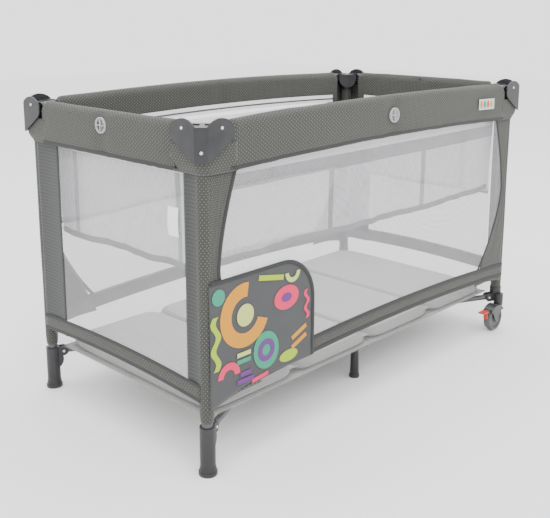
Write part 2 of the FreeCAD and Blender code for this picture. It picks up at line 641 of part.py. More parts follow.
def wheel_master():
    """A turned wheel: rounded tread, recessed disc and a hub with an axle bore."""
    body = doc.addObject("PartDesign::Body", "wheel_body")
    radius, half = dim("wheel_radius"), dim("wheel_width") / 2
    bore = dim("pin_radius") + dim("pin_gap")
    edges = [[(bore, -half), (9, -half)], [(9, -half), (11, -half + 4)],
             [(11, -half + 4), (28, -half + 4)], [(28, -half + 4), (30, -half)],
             [(30, -half), (34, -half)], [(34, -half), (radius, 0), (34, half)],
             [(34, half), (30, half)], [(30, half), (28, half - 4)],
             [(28, half - 4), (11, half - 4)], [(11, half - 4), (9, half)],
             [(9, half), (bore, half)], [(bore, half), (bore, -half)]]
    sketch = outline(body, "wheel_half", "XY_Plane", edges)
    spin = body.newObject("PartDesign::Revolution", "wheel_turned")
    spin.Profile = sketch
    spin.ReferenceAxis = (sketch, ["V_Axis"])
    spin.Angle = 360
    return place(body, dim("swivel_x") - dim("trail"), dim("swivel_y"), dim("wheel_radius"))


pedal_root = 6.0
pedal_edge = 1.5


def brake_master():
    """A red pedal on a barrel, with a shoe that reaches down to the tread."""
    px, pz = brake_pivot()
    y, side = dim("swivel_y"), dim("swivel_y") - dim("brake_width") / 2
    barrel = cylinder("brake_barrel", "lug_radius - 0.5", "brake_width", px, side, pz, V(0, 1, 0))
    blade = bind(doc.addObject("Part::Box", "brake_blade"), Length="pedal_length",
                 Width="pedal_width", Height="pedal_wall")
    place(blade, px - pedal_root - dim("pedal_length"), y - dim("pedal_width") / 2, pz)
    pedal = rounded("brake_blade_soft", blade, pedal_edge, lambda e: True)
    neck = bind(doc.addObject("Part::Box", "brake_neck"), Length=f"{pedal_root} + 3",
                Width="brake_width", Height="pedal_wall - 0.5")
    place(neck, px - pedal_root - 3, side, pz)
    shoe = bind(doc.addObject("Part::Box", "brake_shoe"), Length="shoe_wall", Width="brake_width",
                Height="shoe_height")
    place(shoe, px - pedal_root, side, pz - dim("shoe_height"))
    whole = fuse("brake_whole", [barrel, pedal, neck, shoe])
    hole = cylinder("brake_hole", "brake_pin_radius + pin_gap", "drill_length", px,
                    y - dim("drill_length") / 2, pz, V(0, 1, 0))
    return cut("brake_lever", whole, hole)


# Fabric: padded rail covers, four walls, the floor, the hanging liner and the mattress.
def cover_body(name, end, low, top, arch, thick):
    """A rail cover's side outline, arched in the middle, padded to its thickness."""
    body = doc.addObject("PartDesign::Body", name)
    if arch:
        edges = [[(-end, low), (0, low + arch), (end, low)], [(end, low), (end, top)],
                 [(end, top), (0, top + arch), (-end, top)], [(-end, top), (-end, low)]]
    else:
        edges = ring([(-end, low), (end, low), (end, top), (-end, top)])
    pad(body, outline(body, f"{name}_side", "XZ_Plane", edges), f"{thick}", symmetric=True)
    return body


cover_edge = 12.0
hollow_low = 700.0


def rail_cover(name, x, y, degrees, end, arch):
    """A padded sleeve round one rail, open at both ends."""
    skin, low, top = dim("cover_skin"), dim("cover_low"), dim("cover_top")
    thick = dim("cover_thick")
    outer = cover_body(f"{name}_outer", end, low, top, arch, thick)
    soft = rounded(f"{name}_soft", outer, cover_edge, lambda e: e.BoundBox.XLength > end)
    inner = cover_body(f"{name}_inner", end, hollow_low, top - skin, arch, thick - 2 * skin)
    sleeve = cut(f"{name}_sleeve", soft, inner)
    subpart(name, place(sleeve, x, y, 0, turn(degrees)))


def fabric_wall(name, x, y, degrees, half, arch):
    """A flat wall panel with an arched lower edge."""
    body = doc.addObject("PartDesign::Body", name)
    low, top = dim("wall_low"), dim("wall_top")
    edges = [[(-half, low), (0, low + arch), (half, low)], [(half, low), (half, top)],
             [(half, top), (-half, top)], [(-half, top), (-half, low)]]
    pad(body, outline(body, f"{name}_outline", "XZ_Plane", edges), "wall_thick", symmetric=True)
    doc.recompute()
    subpart(name, place(body, x, y, 0, turn(degrees)))


def liner():
    """The hanging upper liner: four thin sides, open above and below."""
    height = "liner_top - liner_low"
    outer = box("liner_outer", "2 * liner_x", "2 * liner_y", height, z=dim("liner_low"))
    inner = box("liner_inner", "2 * liner_x - 2 * liner_thick", "2 * liner_y - 2 * liner_thick",
                height, z=dim("liner_low"))
    subpart("upper_liner", cut("liner_ring", outer, inner))


mattress_edge = 8.0
seam_rise = 9.0


def mattress():
    """Four padded panels joined by thin seams, so that it folds in four."""
    panel = dim("mattress_x") / 2 - dim("seam_gap") * 3 / 4
    pitch = panel + dim("seam_gap")
    pieces = []
    for n in range(4):
        x = (n - 1.5) * pitch
        block = box(f"mattress_panel_{n}", f"{panel}", "2 * mattress_y", "mattress_thick", x, 0,
                    dim("mattress_z"))
        pieces.append(rounded(f"mattress_soft_{n}", block, mattress_edge, lambda e: True))
    pieces.append(box("mattress_seams", f"{3 * pitch}", "2 * mattress_y - 30", "seam_thick", 0, 0,
                      dim("mattress_z") + seam_rise))
    subpart("mattress", fuse("mattress_whole", pieces))


def frame_parts():
    for corner, sx, sy in every_corner():
        post_tube(corner, sx, sy)
        corner_bracket(corner, sx, sy)
        strut(corner, sx, sy)
        side_tube(corner, sx, sy)
    long_y, short_x = dim("post_y") + dim("rail_out"), dim("post_x") + dim("rail_out")
    rail_group("front", 0, -long_y, 180, 1, rail_run)
    rail_group("rear", 0, long_y, 180, -1, rail_run)
    rail_group("left", -short_x, 0, -90, -1, side_run)
    rail_group("right", short_x, 0, -90, 1, side_run)
    centre_hub()
    side_hub("side_hub_front", -1)
    side_hub("side_hub_rear", 1)
    right = [corner for corner in every_corner() if corner[1] > 0]
    mirrored_set("clip", clip_master(), every_corner())
    boots = plain_foot_master()
    subpart("foot_rl", boots)
    subpart("foot_fl", mirror("boot_front_left", boots, V(0, 1, 0)))
    for label, master in (("caster_foot", caster_foot_master()), ("caster_fork", caster_fork_master()),
                          ("caster_wheel", wheel_master()), ("brake_lever", brake_master())):
        mirrored_set(label, master, right)


floor_corner = 30.0


def fabric_parts():
    long_y, short_x = dim("post_y") + dim("rail_out"), dim("post_x") + dim("rail_out")
    rail_cover("rail_cover_front", 0, -long_y, 0, dim("cover_end"), dim("cover_arch"))
    rail_cover("rail_cover_rear", 0, long_y, 0, dim("cover_end"), dim("cover_arch"))
    rail_cover("rail_cover_left", -short_x, 0, 90, dim("cover_short_end"), 0)
    rail_cover("rail_cover_right", short_x, 0, 90, dim("cover_short_end"), 0)
    gap = dim("post_radius") + 0.4 + dim("wall_thick") / 2
    wall_x, wall_y = dim("post_x") + gap, dim("post_y") + gap
    half_long, half_short = wall_x + dim("wall_thick") / 2, wall_y - dim("wall_thick") / 2 - 0.4
    fabric_wall("wall_front", 0, -wall_y, 0, half_long, dim("wall_arch"))
    fabric_wall("wall_rear", 0, wall_y, 0, half_long, dim("wall_arch"))
    fabric_wall("wall_left", -wall_x, 0, 90, half_short, dim("wall_arch") / 2)
    fabric_wall("wall_right", wall_x, 0, 90, half_short, dim("wall_arch") / 2)
    floor = box("floor_blank", "2 * floor_x", "2 * floor_y", "floor_thick", z=dim("floor_z"))
    subpart("fabric_floor", rounded("floor_soft", floor, floor_corner,
                                    lambda e: abs(e.tangentAt(0).z) > 0.9))
    liner()
    mattress()


def check_and_write():
    """Stop on any failed object or bad shape, then write one STEP file per node."""
    doc.recompute()
    failed = [o.Name for o in doc.Objects if {"Invalid", "Error"} & set(o.State)]
    assert not failed, f"failed objects: {failed}"
    for obj in nodes:
        assert not obj.Shape.isNull() and obj.Shape.isValid(), f"bad shape: {obj.Label}"
        assert obj.Shape.Volume > 0, f"no volume: {obj.Label}"
    os.makedirs("parts", exist_ok=True)
    for obj in nodes:
        obj.Shape.exportStep(f"parts/{obj.Label}.step")
    print(len(nodes), "nodes written")


frame_parts()
fabric_parts()
check_and_write()
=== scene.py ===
import math

import bpy
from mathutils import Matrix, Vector, noise


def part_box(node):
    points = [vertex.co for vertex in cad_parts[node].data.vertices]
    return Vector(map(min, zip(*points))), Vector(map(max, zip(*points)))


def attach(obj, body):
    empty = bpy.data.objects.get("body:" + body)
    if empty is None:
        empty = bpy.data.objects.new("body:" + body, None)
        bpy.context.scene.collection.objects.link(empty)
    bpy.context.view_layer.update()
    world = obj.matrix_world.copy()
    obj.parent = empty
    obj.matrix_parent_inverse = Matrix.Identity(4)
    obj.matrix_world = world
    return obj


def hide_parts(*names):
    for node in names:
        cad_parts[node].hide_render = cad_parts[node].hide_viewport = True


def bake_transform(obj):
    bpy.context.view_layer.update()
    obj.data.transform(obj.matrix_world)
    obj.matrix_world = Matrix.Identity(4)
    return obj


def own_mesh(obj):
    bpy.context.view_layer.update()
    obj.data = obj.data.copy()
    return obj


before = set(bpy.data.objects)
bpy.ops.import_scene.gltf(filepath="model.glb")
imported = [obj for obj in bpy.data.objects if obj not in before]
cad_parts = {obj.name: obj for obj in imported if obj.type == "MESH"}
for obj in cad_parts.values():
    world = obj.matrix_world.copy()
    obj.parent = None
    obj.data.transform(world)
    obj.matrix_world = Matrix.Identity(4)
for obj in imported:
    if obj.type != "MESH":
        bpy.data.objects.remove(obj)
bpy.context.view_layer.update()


# Corner posts, rail tubes and floor struts: drawn steel tube, painted satin grey, with flattened
# tongues pinned in the plastic joints. They keep their CAD shape and take a worn paint.
def shader_group(name, inputs, outputs):
    """A node group with named sockets, its input node and its output node."""
    tree = bpy.data.node_groups.new(name, "ShaderNodeTree")
    for label, kind, start in inputs:
        socket = tree.interface.new_socket(label, in_out="INPUT", socket_type="NodeSocket" + kind)
        if start is not None:
            socket.default_value = start
    for label, kind in outputs:
        tree.interface.new_socket(label, in_out="OUTPUT", socket_type="NodeSocket" + kind)
    return tree, tree.nodes.new("NodeGroupInput").outputs, tree.nodes.new("NodeGroupOutput").inputs


def node(tree, kind, sockets=None, **settings):
    """A shader node; each socket takes a value or another node's output."""
    made = tree.nodes.new("ShaderNode" + kind)
    for key, value in settings.items():
        setattr(made, key, value)
    for key, value in (sockets or {}).items():
        if isinstance(value, bpy.types.NodeSocket):
            tree.links.new(value, made.inputs[key])
        else:
            made.inputs[key].default_value = value
    return made


def calc(tree, operation, *values):
    """The output of a Math node."""
    return node(tree, "Math", dict(enumerate(values)), operation=operation).outputs[0]


def mix(tree, factor, first, second):
    """The colour between two colours."""
    made = node(tree, "Mix", {0: factor, 6: first, 7: second}, data_type="RGBA")
    return made.outputs[2]


def moulded_surface():
    """Fine grain, cloudy colour and paler edges for plastic and painted steel."""
    tree, given, out = shader_group(
        "moulded_surface",
        [("Colour", "Color", (0.1, 0.1, 0.1, 1)), ("Edge Colour", "Color", (0.3, 0.3, 0.3, 1)),
         ("Roughness", "Float", 0.4), ("Grain Scale", "Float", 900.0), ("Wear", "Float", 0.5)],
        [("Colour", "Color"), ("Roughness", "Float"), ("Height", "Float")])
    place = node(tree, "TexCoord").outputs["Object"]
    grain = node(tree, "TexNoise", {"Vector": place, "Scale": given["Grain Scale"], "Detail": 2.0})
    clouds = node(tree, "TexNoise", {"Vector": place, "Scale": 24.0, "Detail": 4.0})
    edge = node(tree, "MapRange", {"Value": node(tree, "NewGeometry").outputs["Pointiness"],
                                   "From Min": 0.515, "From Max": 0.60})
    scuffed = calc(tree, "MULTIPLY", edge.outputs[0], clouds.outputs["Fac"])
    worn = calc(tree, "MULTIPLY", scuffed, given["Wear"])
    cloudy = calc(tree, "MULTIPLY", clouds.outputs["Fac"], 0.22)
    base = mix(tree, cloudy, given["Colour"], given["Edge Colour"])
    tree.links.new(mix(tree, worn, base, given["Edge Colour"]), out["Colour"])
    spread = calc(tree, "MULTIPLY_ADD", clouds.outputs["Fac"], 0.16, given["Roughness"])
    tree.links.new(calc(tree, "SUBTRACT", spread, 0.08), out["Roughness"])
    tree.links.new(grain.outputs["Fac"], out["Height"])
    return tree


hard_surface = moulded_surface()


def set_shader(bsdf, values):
    """Plain values on a shader's own sockets, named in lower case."""
    for label, value in values.items():
        bsdf.inputs[label.replace("_", " ").title().replace("Ior", "IOR")].default_value = value


def hard_material(name, colour, edge, roughness, grain=900.0, wear=0.5, depth=0.00004, **shader):
    """A plastic or painted finish; further values go straight on the shader."""
    made = bpy.data.materials.new(name)
    made.use_nodes = True
    tree = made.node_tree
    bsdf = tree.nodes["Principled BSDF"]
    look = node(tree, "Group", node_tree=hard_surface)
    for label, value in (("Colour", (*colour, 1)), ("Edge Colour", (*edge, 1)),
                         ("Roughness", roughness), ("Grain Scale", grain), ("Wear", wear)):
        look.inputs[label].default_value = value
    bump = node(tree, "Bump", {"Height": look.outputs["Height"], "Distance": depth, "Strength": 0.6})
    tree.links.new(look.outputs["Colour"], bsdf.inputs["Base Color"])
    tree.links.new(look.outputs["Roughness"], bsdf.inputs["Roughness"])
    tree.links.new(bump.outputs["Normal"], bsdf.inputs["Normal"])
    set_shader(bsdf, shader)
    return made


def finish_node(name, material, bevel=0.0, corner=38):
    """Give a CAD node its material, softly shaded, with small bevels on its edges."""
    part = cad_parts[name]
    part.data.materials.clear()
    part.data.materials.append(material)
    if bevel:
        soft = part.modifiers.new("soft_edges", "BEVEL")
        soft.width, soft.segments, soft.angle_limit = bevel, 2, math.radians(corner)
        soft.limit_method = "ANGLE"
        soft.use_clamp_overlap = True
    return part


satin_paint = hard_material("satin_grey_paint", (0.065, 0.068, 0.07), (0.2, 0.205, 0.21), 0.36,
                            grain=1400, wear=0.3, metallic=0.35)
corners = {"fl": (-1, -1), "fr": (1, -1), "rl": (-1, 1), "rr": (1, 1)}
sides = ("front", "rear", "left", "right")
tubes = [f"{kind}_{c}" for kind in ("post_tube", "strut", "side_tube") for c in corners]
tubes += [f"rail_{s}_{half}" for s in sides for half in "ab"]
for name in tubes:
    finish_node(name, satin_paint)


# Feet, clips, hubs, lock blocks and caster forks: glass-filled nylon mouldings, black with a fine
# spark texture, pressed on the tubes and pinned through them.
black_nylon = hard_material("black_nylon", (0.006, 0.006, 0.0065), (0.05, 0.05, 0.055), 0.42,
                            grain=1100, wear=0.6)
mouldings = [f"clip_{c}" for c in corners] + [f"lock_{s}" for s in sides]
mouldings += ["centre_hub", "side_hub_front", "side_hub_rear"]
mouldings += ["foot_fl", "foot_rl", "caster_foot_fr", "caster_foot_rr"]
for name in mouldings:
    finish_node(name, black_nylon, 0.0009)
fender_grey = hard_material("fender_grey", (0.012, 0.0125, 0.014), (0.12, 0.12, 0.13), 0.3, wear=0.5)
for name in ("caster_fork_fr", "caster_fork_rr"):
    finish_node(name, fender_grey, 0.0007)


# Corner brackets: one glossy charcoal moulding over each post, two lobed wings either side of a
# flat ridge with a half-round flap inside, closed by rivets.
charcoal_shell = hard_material("charcoal_shell", (0.006, 0.0065, 0.008), (0.06, 0.06, 0.065), 0.34,
                               grain=500, wear=0.5, depth=0.00001, coat_weight=0.12,
                               coat_roughness=0.2, specular_ior_level=0.35)
for corner in corners:
    finish_node(f"corner_bracket_{corner}", charcoal_shell, 0.0011)


# Release buttons, caster wheels and brake pedals: small mouldings in mid grey and signal red,
# pushed in or pinned after the frame is built.
mid_grey = hard_material("mid_grey_moulding", (0.14, 0.14, 0.145), (0.3, 0.3, 0.31), 0.4)
tread_grey = hard_material("tread_grey", (0.06, 0.06, 0.063), (0.26, 0.26, 0.265), 0.5, grain=700)
signal_red = hard_material("signal_red", (0.42, 0.012, 0.003), (0.7, 0.12, 0.06), 0.3, wear=0.3,
                           coat_weight=0.2)
for side in sides:
    finish_node(f"release_button_{side}", mid_grey, 0.0004)
for corner in ("fr", "rr"):
    finish_node(f"caster_wheel_{corner}", tread_grey, 0.0006)
    finish_node(f"brake_lever_{corner}", signal_red, 0.0004)


# Post sleeves: dotted polyester sewn to a tube and drawn over each post, from under the rail
# covers down to the foot, with a felled seam on the inner side.
def dotted_weave():
    """Plain weave in metres of cloth, with a staggered grid of small pale dots."""
    tree, given, out = shader_group(
        "dotted_weave",
        [("Cloth", "Vector", None), ("Colour", "Color", (0.1, 0.1, 0.1, 1)),
         ("Dot Colour", "Color", (0.4, 0.4, 0.4, 1)), ("Dot Pitch", "Float", 0.0085),
         ("Dot Size", "Float", 0.15)],
        [("Colour", "Color"), ("Roughness", "Float"), ("Height", "Float")])
    along = node(tree, "SeparateXYZ", {0: given["Cloth"]}).outputs
    u, v = (calc(tree, "DIVIDE", along[n], given["Dot Pitch"]) for n in (0, 1))
    v = calc(tree, "MULTIPLY", v, 1.6)
    shift = calc(tree, "MULTIPLY", calc(tree, "FLOORED_MODULO", calc(tree, "FLOOR", v), 2.0), 0.5)
    across = calc(tree, "SUBTRACT", calc(tree, "FRACT", calc(tree, "ADD", u, shift)), 0.5)
    up = calc(tree, "MULTIPLY", calc(tree, "SUBTRACT", calc(tree, "FRACT", v), 0.5), 0.8)
    far = calc(tree, "SQRT", calc(tree, "ADD", calc(tree, "MULTIPLY", across, across),
                                  calc(tree, "MULTIPLY", up, up)))
    dot = node(tree, "MapRange", {"Value": far, "From Min": given["Dot Size"],
                                  "From Max": calc(tree, "MULTIPLY", given["Dot Size"], 0.55),
                                  "To Min": 0.0, "To Max": 1.0}).outputs[0]
    threads = [calc(tree, "ABSOLUTE", calc(tree, "SINE", calc(tree, "MULTIPLY", along[n], 3900.0)))
               for n in (0, 1)]
    weave = calc(tree, "MAXIMUM", *threads)
    fleck = node(tree, "TexNoise", {"Vector": given["Cloth"], "Scale": 700.0, "Detail": 2.0})
    cloud = node(tree, "TexNoise", {"Vector": given["Cloth"], "Scale": 9.0, "Detail": 3.0})
    shade = calc(tree, "MULTIPLY_ADD", fleck.outputs["Fac"], 0.5,
                 calc(tree, "MULTIPLY_ADD", weave, 0.35, 0.32))
    shade = calc(tree, "MULTIPLY", shade, calc(tree, "MULTIPLY_ADD", cloud.outputs["Fac"], 0.3, 0.85))
    dark = mix(tree, shade, (0.02, 0.02, 0.02, 1), given["Colour"])
    tree.links.new(mix(tree, dot, dark, given["Dot Colour"]), out["Colour"])
    tree.links.new(calc(tree, "MULTIPLY_ADD", weave, -0.12, 0.92), out["Roughness"])
    tree.links.new(calc(tree, "ADD", weave, calc(tree, "MULTIPLY", dot, 1.5)), out["Height"])
    return tree


dotted = dotted_weave()


def cloth_material(name, group, depth, values, **shader):
    """A cloth that reads its weave from the piece's own cut, held in the UV map named cloth."""
    made = bpy.data.materials.new(name)
    made.use_nodes = True
    tree = made.node_tree
    bsdf = tree.nodes["Principled BSDF"]
    look = node(tree, "Group", node_tree=group)
    tree.links.new(node(tree, "UVMap", uv_map="cloth").outputs[0], look.inputs["Cloth"])
    for label, value in values.items():
        look.inputs[label].default_value = value
    for label, target in (("Colour", "Base Color"), ("Roughness", "Roughness"), ("Alpha", "Alpha")):
        if label in look.outputs:
            tree.links.new(look.outputs[label], bsdf.inputs[target])
    bump = node(tree, "Bump", {"Height": look.outputs["Height"], "Distance": depth, "Strength": 0.7})
    tree.links.new(bump.outputs["Normal"], bsdf.inputs["Normal"])
    set_shader(bsdf, shader)
    return made


grey_dotted = cloth_material(
    "grey_dotted_cloth", dotted, 0.0002,
    {"Colour": (0.050, 0.052, 0.046, 1), "Dot Colour": (0.22, 0.22, 0.18, 1)},
    sheen_weight=0.15, sheen_roughness=0.5, specular_ior_level=0.3)


def sheet_grid(name, columns, rows, point, cut, material, close=False):
    """A cloth of columns by rows cells. point gives the place and cut the metres of cloth, both of
    two shares from 0 to 1; close joins the last column to the first."""
    width = columns if close else columns + 1
    spots = [(i / columns, j / rows) for j in range(rows + 1) for i in range(width)]
    faces = [(j * width + i, j * width + (i + 1) % width, (j + 1) * width + (i + 1) % width,
              (j + 1) * width + i) for j in range(rows) for i in range(columns)]
    mesh = bpy.data.meshes.new(name)
    mesh.from_pydata([point(*spot) for spot in spots], [], faces)
    layer = mesh.uv_layers.new(name="cloth")
    for face in mesh.polygons:
        cell = face.index % columns, face.index // columns
        for loop, (di, dj) in zip(face.loop_indices, ((0, 0), (1, 0), (1, 1), (0, 1))):
            layer.data[loop].uv = cut((cell[0] + di) / columns, (cell[1] + dj) / rows)
    mesh.shade_smooth()
    mesh.materials.append(material)
    made = bpy.data.objects.new(name, mesh)
    bpy.context.scene.collection.objects.link(made)
    return made


def ripple(a, b, height, seed, scale=7.0):
    """A seeded, smooth wave over two coordinates, from -height to height."""
    return height * noise.noise(Vector((a * scale, b * scale, seed)))


def thicken(piece, thick, offset=0.0):
    """Real cloth thickness on a sheet."""
    layer = piece.modifiers.new("cloth_thickness", "SOLIDIFY")
    layer.thickness, layer.offset = thick, offset
    return piece


post_low, post_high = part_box("post_tube_fr")
post_x = (post_low.x + post_high.x) / 2
post_y = -(post_low.y + post_high.y) / 2
wall_low, wall_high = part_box("wall_front")
long_wall_y = -(wall_low.y + wall_high.y) / 2
short_low, short_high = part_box("wall_right")
short_wall_x = (short_low.x + short_high.x) / 2
cover_low, cover_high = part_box("rail_cover_front")
sleeve_radius = long_wall_y - post_y + 0.0012
sleeve_foot = 0.120
sleeve_top = 0.704
girth = 2 * math.pi * sleeve_radius
for corner, (sx, sy) in corners.items():
    def sleeve_point(u, v, sx=sx, sy=sy):
        turn = 2 * math.pi * u
        z = sleeve_foot + v * (sleeve_top - sleeve_foot)
        swell = ripple(math.cos(turn) + sx, z * 6 + sy, 0.0012, 3.1, 0.9)
        tuck = 0.0016 * math.exp(-(v / 0.02) ** 2)
        radius = sleeve_radius - tuck + swell * math.sin(math.pi * v)
        return (sx * post_x + radius * math.cos(turn), sy * post_y + radius * math.sin(turn), z)

    height = sleeve_top - sleeve_foot
    sleeve = sheet_grid(f"post_sleeve_{corner}", 36, 70, sleeve_point,
                        lambda u, v: (u * girth, v * height), grey_dotted, close=True)
    thicken(sleeve, 0.001, -1)
    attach(sleeve, f"post_{corner}")


# Corner gussets: the same dotted cloth folded round the outside of each corner under the bracket
# wings, where the two rail covers meet the post sleeve.
gusset_low = cover_low.z - 0.006
gusset_top = cover_low.z + 0.056
gusset_face_y = -cover_low.y - 0.0035
gusset_face_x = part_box("rail_cover_right")[1].x - 0.0035
gusset_round = 0.022
gusset_end_x = cover_high.x - 0.012
gusset_end_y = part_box("rail_cover_right")[1].y - 0.012
run_x = gusset_face_x - gusset_round - gusset_end_x
run_y = gusset_face_y - gusset_round - gusset_end_y
bend = gusset_round * math.pi / 2
gusset_length = run_x + bend + run_y
for corner, (sx, sy) in corners.items():
    def gusset_point(u, v, sx=sx, sy=sy):
        s = u * gusset_length
        z = gusset_low + v * (gusset_top - gusset_low)
        if s < run_x:
            x, y = gusset_end_x + s, gusset_face_y
        elif s < run_x + bend:
            turn = (s - run_x) / gusset_round
            x = gusset_face_x - gusset_round * (1 - math.sin(turn))
            y = gusset_face_y - gusset_round * (1 - math.cos(turn))
        else:
            x, y = gusset_face_x, gusset_face_y - gusset_round - (s - run_x - bend)
        hem = 1 - 0.017 * math.exp(-(v / 0.22) ** 2)
        return (sx * x * hem, sy * (y - (1 - hem) * 0.4), z)

    tall = gusset_top - gusset_low
    gusset = sheet_grid(f"corner_gusset_{corner}", 40, 10, gusset_point,
                        lambda u, v: (u * gusset_length, v * tall), grey_dotted)
    thicken(gusset, 0.001, -sx * sy)
    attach(gusset, f"post_{corner}")


# Long wall webs: a shaped gusset of dotted cloth beside each post, tape-bound where the net window
# is sewn in. Short wall webs are straight strips of ribbed tape cloth.
def ribbed_tape():
    """A plain dark tape with fine cross ribs and a stitched line near each edge."""
    tree, given, out = shader_group(
        "ribbed_tape",
        [("Cloth", "Vector", None), ("Colour", "Color", (0.1, 0.1, 0.1, 1)),
         ("Rib Pitch", "Float", 0.0022), ("Rib Shade", "Float", 0.35)],
        [("Colour", "Color"), ("Roughness", "Float"), ("Height", "Float")])
    along = node(tree, "SeparateXYZ", {0: given["Cloth"]}).outputs
    rib = calc(tree, "SINE", calc(tree, "DIVIDE", calc(tree, "MULTIPLY", along[1], 2 * math.pi),
                                  given["Rib Pitch"]))
    rib = calc(tree, "MULTIPLY_ADD", rib, 0.5, 0.5)
    fleck = node(tree, "TexNoise", {"Vector": given["Cloth"], "Scale": 160.0, "Detail": 4.0})
    shade = calc(tree, "SUBTRACT", 1.0, calc(tree, "MULTIPLY", rib, given["Rib Shade"]))
    shade = calc(tree, "MULTIPLY", shade, calc(tree, "MULTIPLY_ADD", fleck.outputs["Fac"], 0.5, 0.75))
    tree.links.new(mix(tree, shade, (0.01, 0.01, 0.01, 1), given["Colour"]), out["Colour"])
    tree.links.new(calc(tree, "MULTIPLY_ADD", rib, 0.1, 0.8), out["Roughness"])
    tree.links.new(calc(tree, "ADD", rib, fleck.outputs["Fac"]), out["Height"])
    return tree


ribbed = ribbed_tape()
dark_tape = cloth_material("dark_binding_tape", ribbed, 0.00025,
                           {"Colour": (0.024, 0.025, 0.025, 1), "Rib Pitch": 0.0022},
                           sheen_weight=0.1)
ribbed_web = cloth_material("ribbed_web_cloth", ribbed, 0.0004,
                            {"Colour": (0.045, 0.047, 0.047, 1), "Rib Pitch": 0.0085,
                             "Rib Shade": 0.3}, sheen_weight=0.15)
wall_top = wall_high.z - 0.001
corner_z = wall_low.z
band_tall = 0.036
band_arch = 0.022
sewn_low = corner_z + band_tall
fold_keep = 0.311
side_keep = 0.361


def long_edge(z):
    """How far from the middle the long wall's net starts at a height."""
    belly = 0.450
    if z > belly:
        return 0.570 - 0.050 * min(1.0, (z - belly) / (wall_top - belly)) ** 1.5
    return 0.570 - 0.125 * ((belly - z) / (belly - sewn_low)) ** 1.7


def web_bottom(reach):
    """The web's lower edge, from the post out to the band."""
    rise = min(1.0, max(0.0, (post_x - reach) / 0.10))
    return sleeve_foot + 0.030 + (corner_z - sleeve_foot - 0.030) * math.sin(rise * math.pi / 2)


def bind(name, path, width, out, material, thick=0.0016):
    """A flat tape of a width along a path of points, standing a little proud towards out."""
    out = Vector(out)
    lengths = [0.0]
    for a, b in zip(path, path[1:]):
        lengths.append(lengths[-1] + (Vector(b) - Vector(a)).length)

    def place(u, v):
        n = min(int(round(u * (len(path) - 1))), len(path) - 1)
        here = Vector(path[n])
        ahead = Vector(path[min(n + 1, len(path) - 1)]) - Vector(path[max(n - 1, 0)])
        side = ahead.normalized().cross(out)
        crown = 1 - (2 * v - 1) ** 4
        return here + side * (v - 0.5) * width + out * (thick * (0.35 + 0.65 * crown))

    def cut(u, v):
        n = min(int(round(u * (len(path) - 1))), len(path) - 1)
        return (v * width, lengths[n])

    return sheet_grid(name, len(path) - 1, 4, place, cut, material), lengths[-1]


def fold_with(piece, corner, axis, anchor, keep):
    """Ride a corner's post."""
    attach(piece, f"post_{corner}")
    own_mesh(piece)
    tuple(axis)
    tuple(anchor)


def wall_fold(corner, short):
    """The axis, anchor and kept share given for a short or long wall at its post."""
    sx, sy = corners[corner]
    if short:
        return (0, 1, 0), (0, sy * post_y, 0), side_keep
    return (1, 0, 0), (sx * post_x, 0, 0), fold_keep


for corner, (sx, sy) in corners.items():
    def web_point(u, v, sx=sx, sy=sy):
        z_top = wall_top
        z = sewn_low * (1 - v) + z_top * v
        near = post_x - 0.004
        reach = near + (long_edge(z) - near) * u
        low = web_bottom(reach)
        if v < 0.12:
            z = low + (sewn_low + (z_top - sewn_low) * 0.12 - low) * (v / 0.12)
        pucker = ripple(u * 2 + sx, z * 3 + sy, 0.0014, 5.7) * math.sin(math.pi * u)
        return (sx * reach, sy * (long_wall_y + pucker), z)

    web = sheet_grid(f"long_web_{corner}", 18, 60, web_point,
                     lambda u, v: (u * 0.10, v * (wall_top - corner_z)), grey_dotted)
    thicken(web, 0.0012)
    fold_with(web, corner, *wall_fold(corner, False))
    hem_path = [(sx * long_edge(z), sy * (long_wall_y + 0.0004), z) for z in
                (sewn_low + (wall_top - sewn_low) * n / 48 for n in range(49))]
    hem, hem_length = bind(f"long_web_binding_{corner}", hem_path, 0.010, (0, sy, 0), dark_tape)
    fold_with(hem, corner, *wall_fold(corner, False))

    short_edge = 0.262 if sy < 0 else 0.205

    def short_point(u, v, sx=sx, sy=sy, edge=short_edge):
        z = corner_z + 0.004 + v * (wall_top - corner_z - 0.004)
        reach = post_y - 0.002 + (edge - post_y + 0.002) * u
        sag = 0.0025 * math.sin(math.pi * u)
        return (sx * (short_wall_x - sag), sy * reach, z)

    wide = post_y - short_edge
    strip = sheet_grid(f"short_web_{corner}", 10, 60, short_point,
                       lambda u, v: (u * wide, v * (wall_top - corner_z)), ribbed_web)
    thicken(strip, 0.0012)
    fold_with(strip, corner, *wall_fold(corner, True))


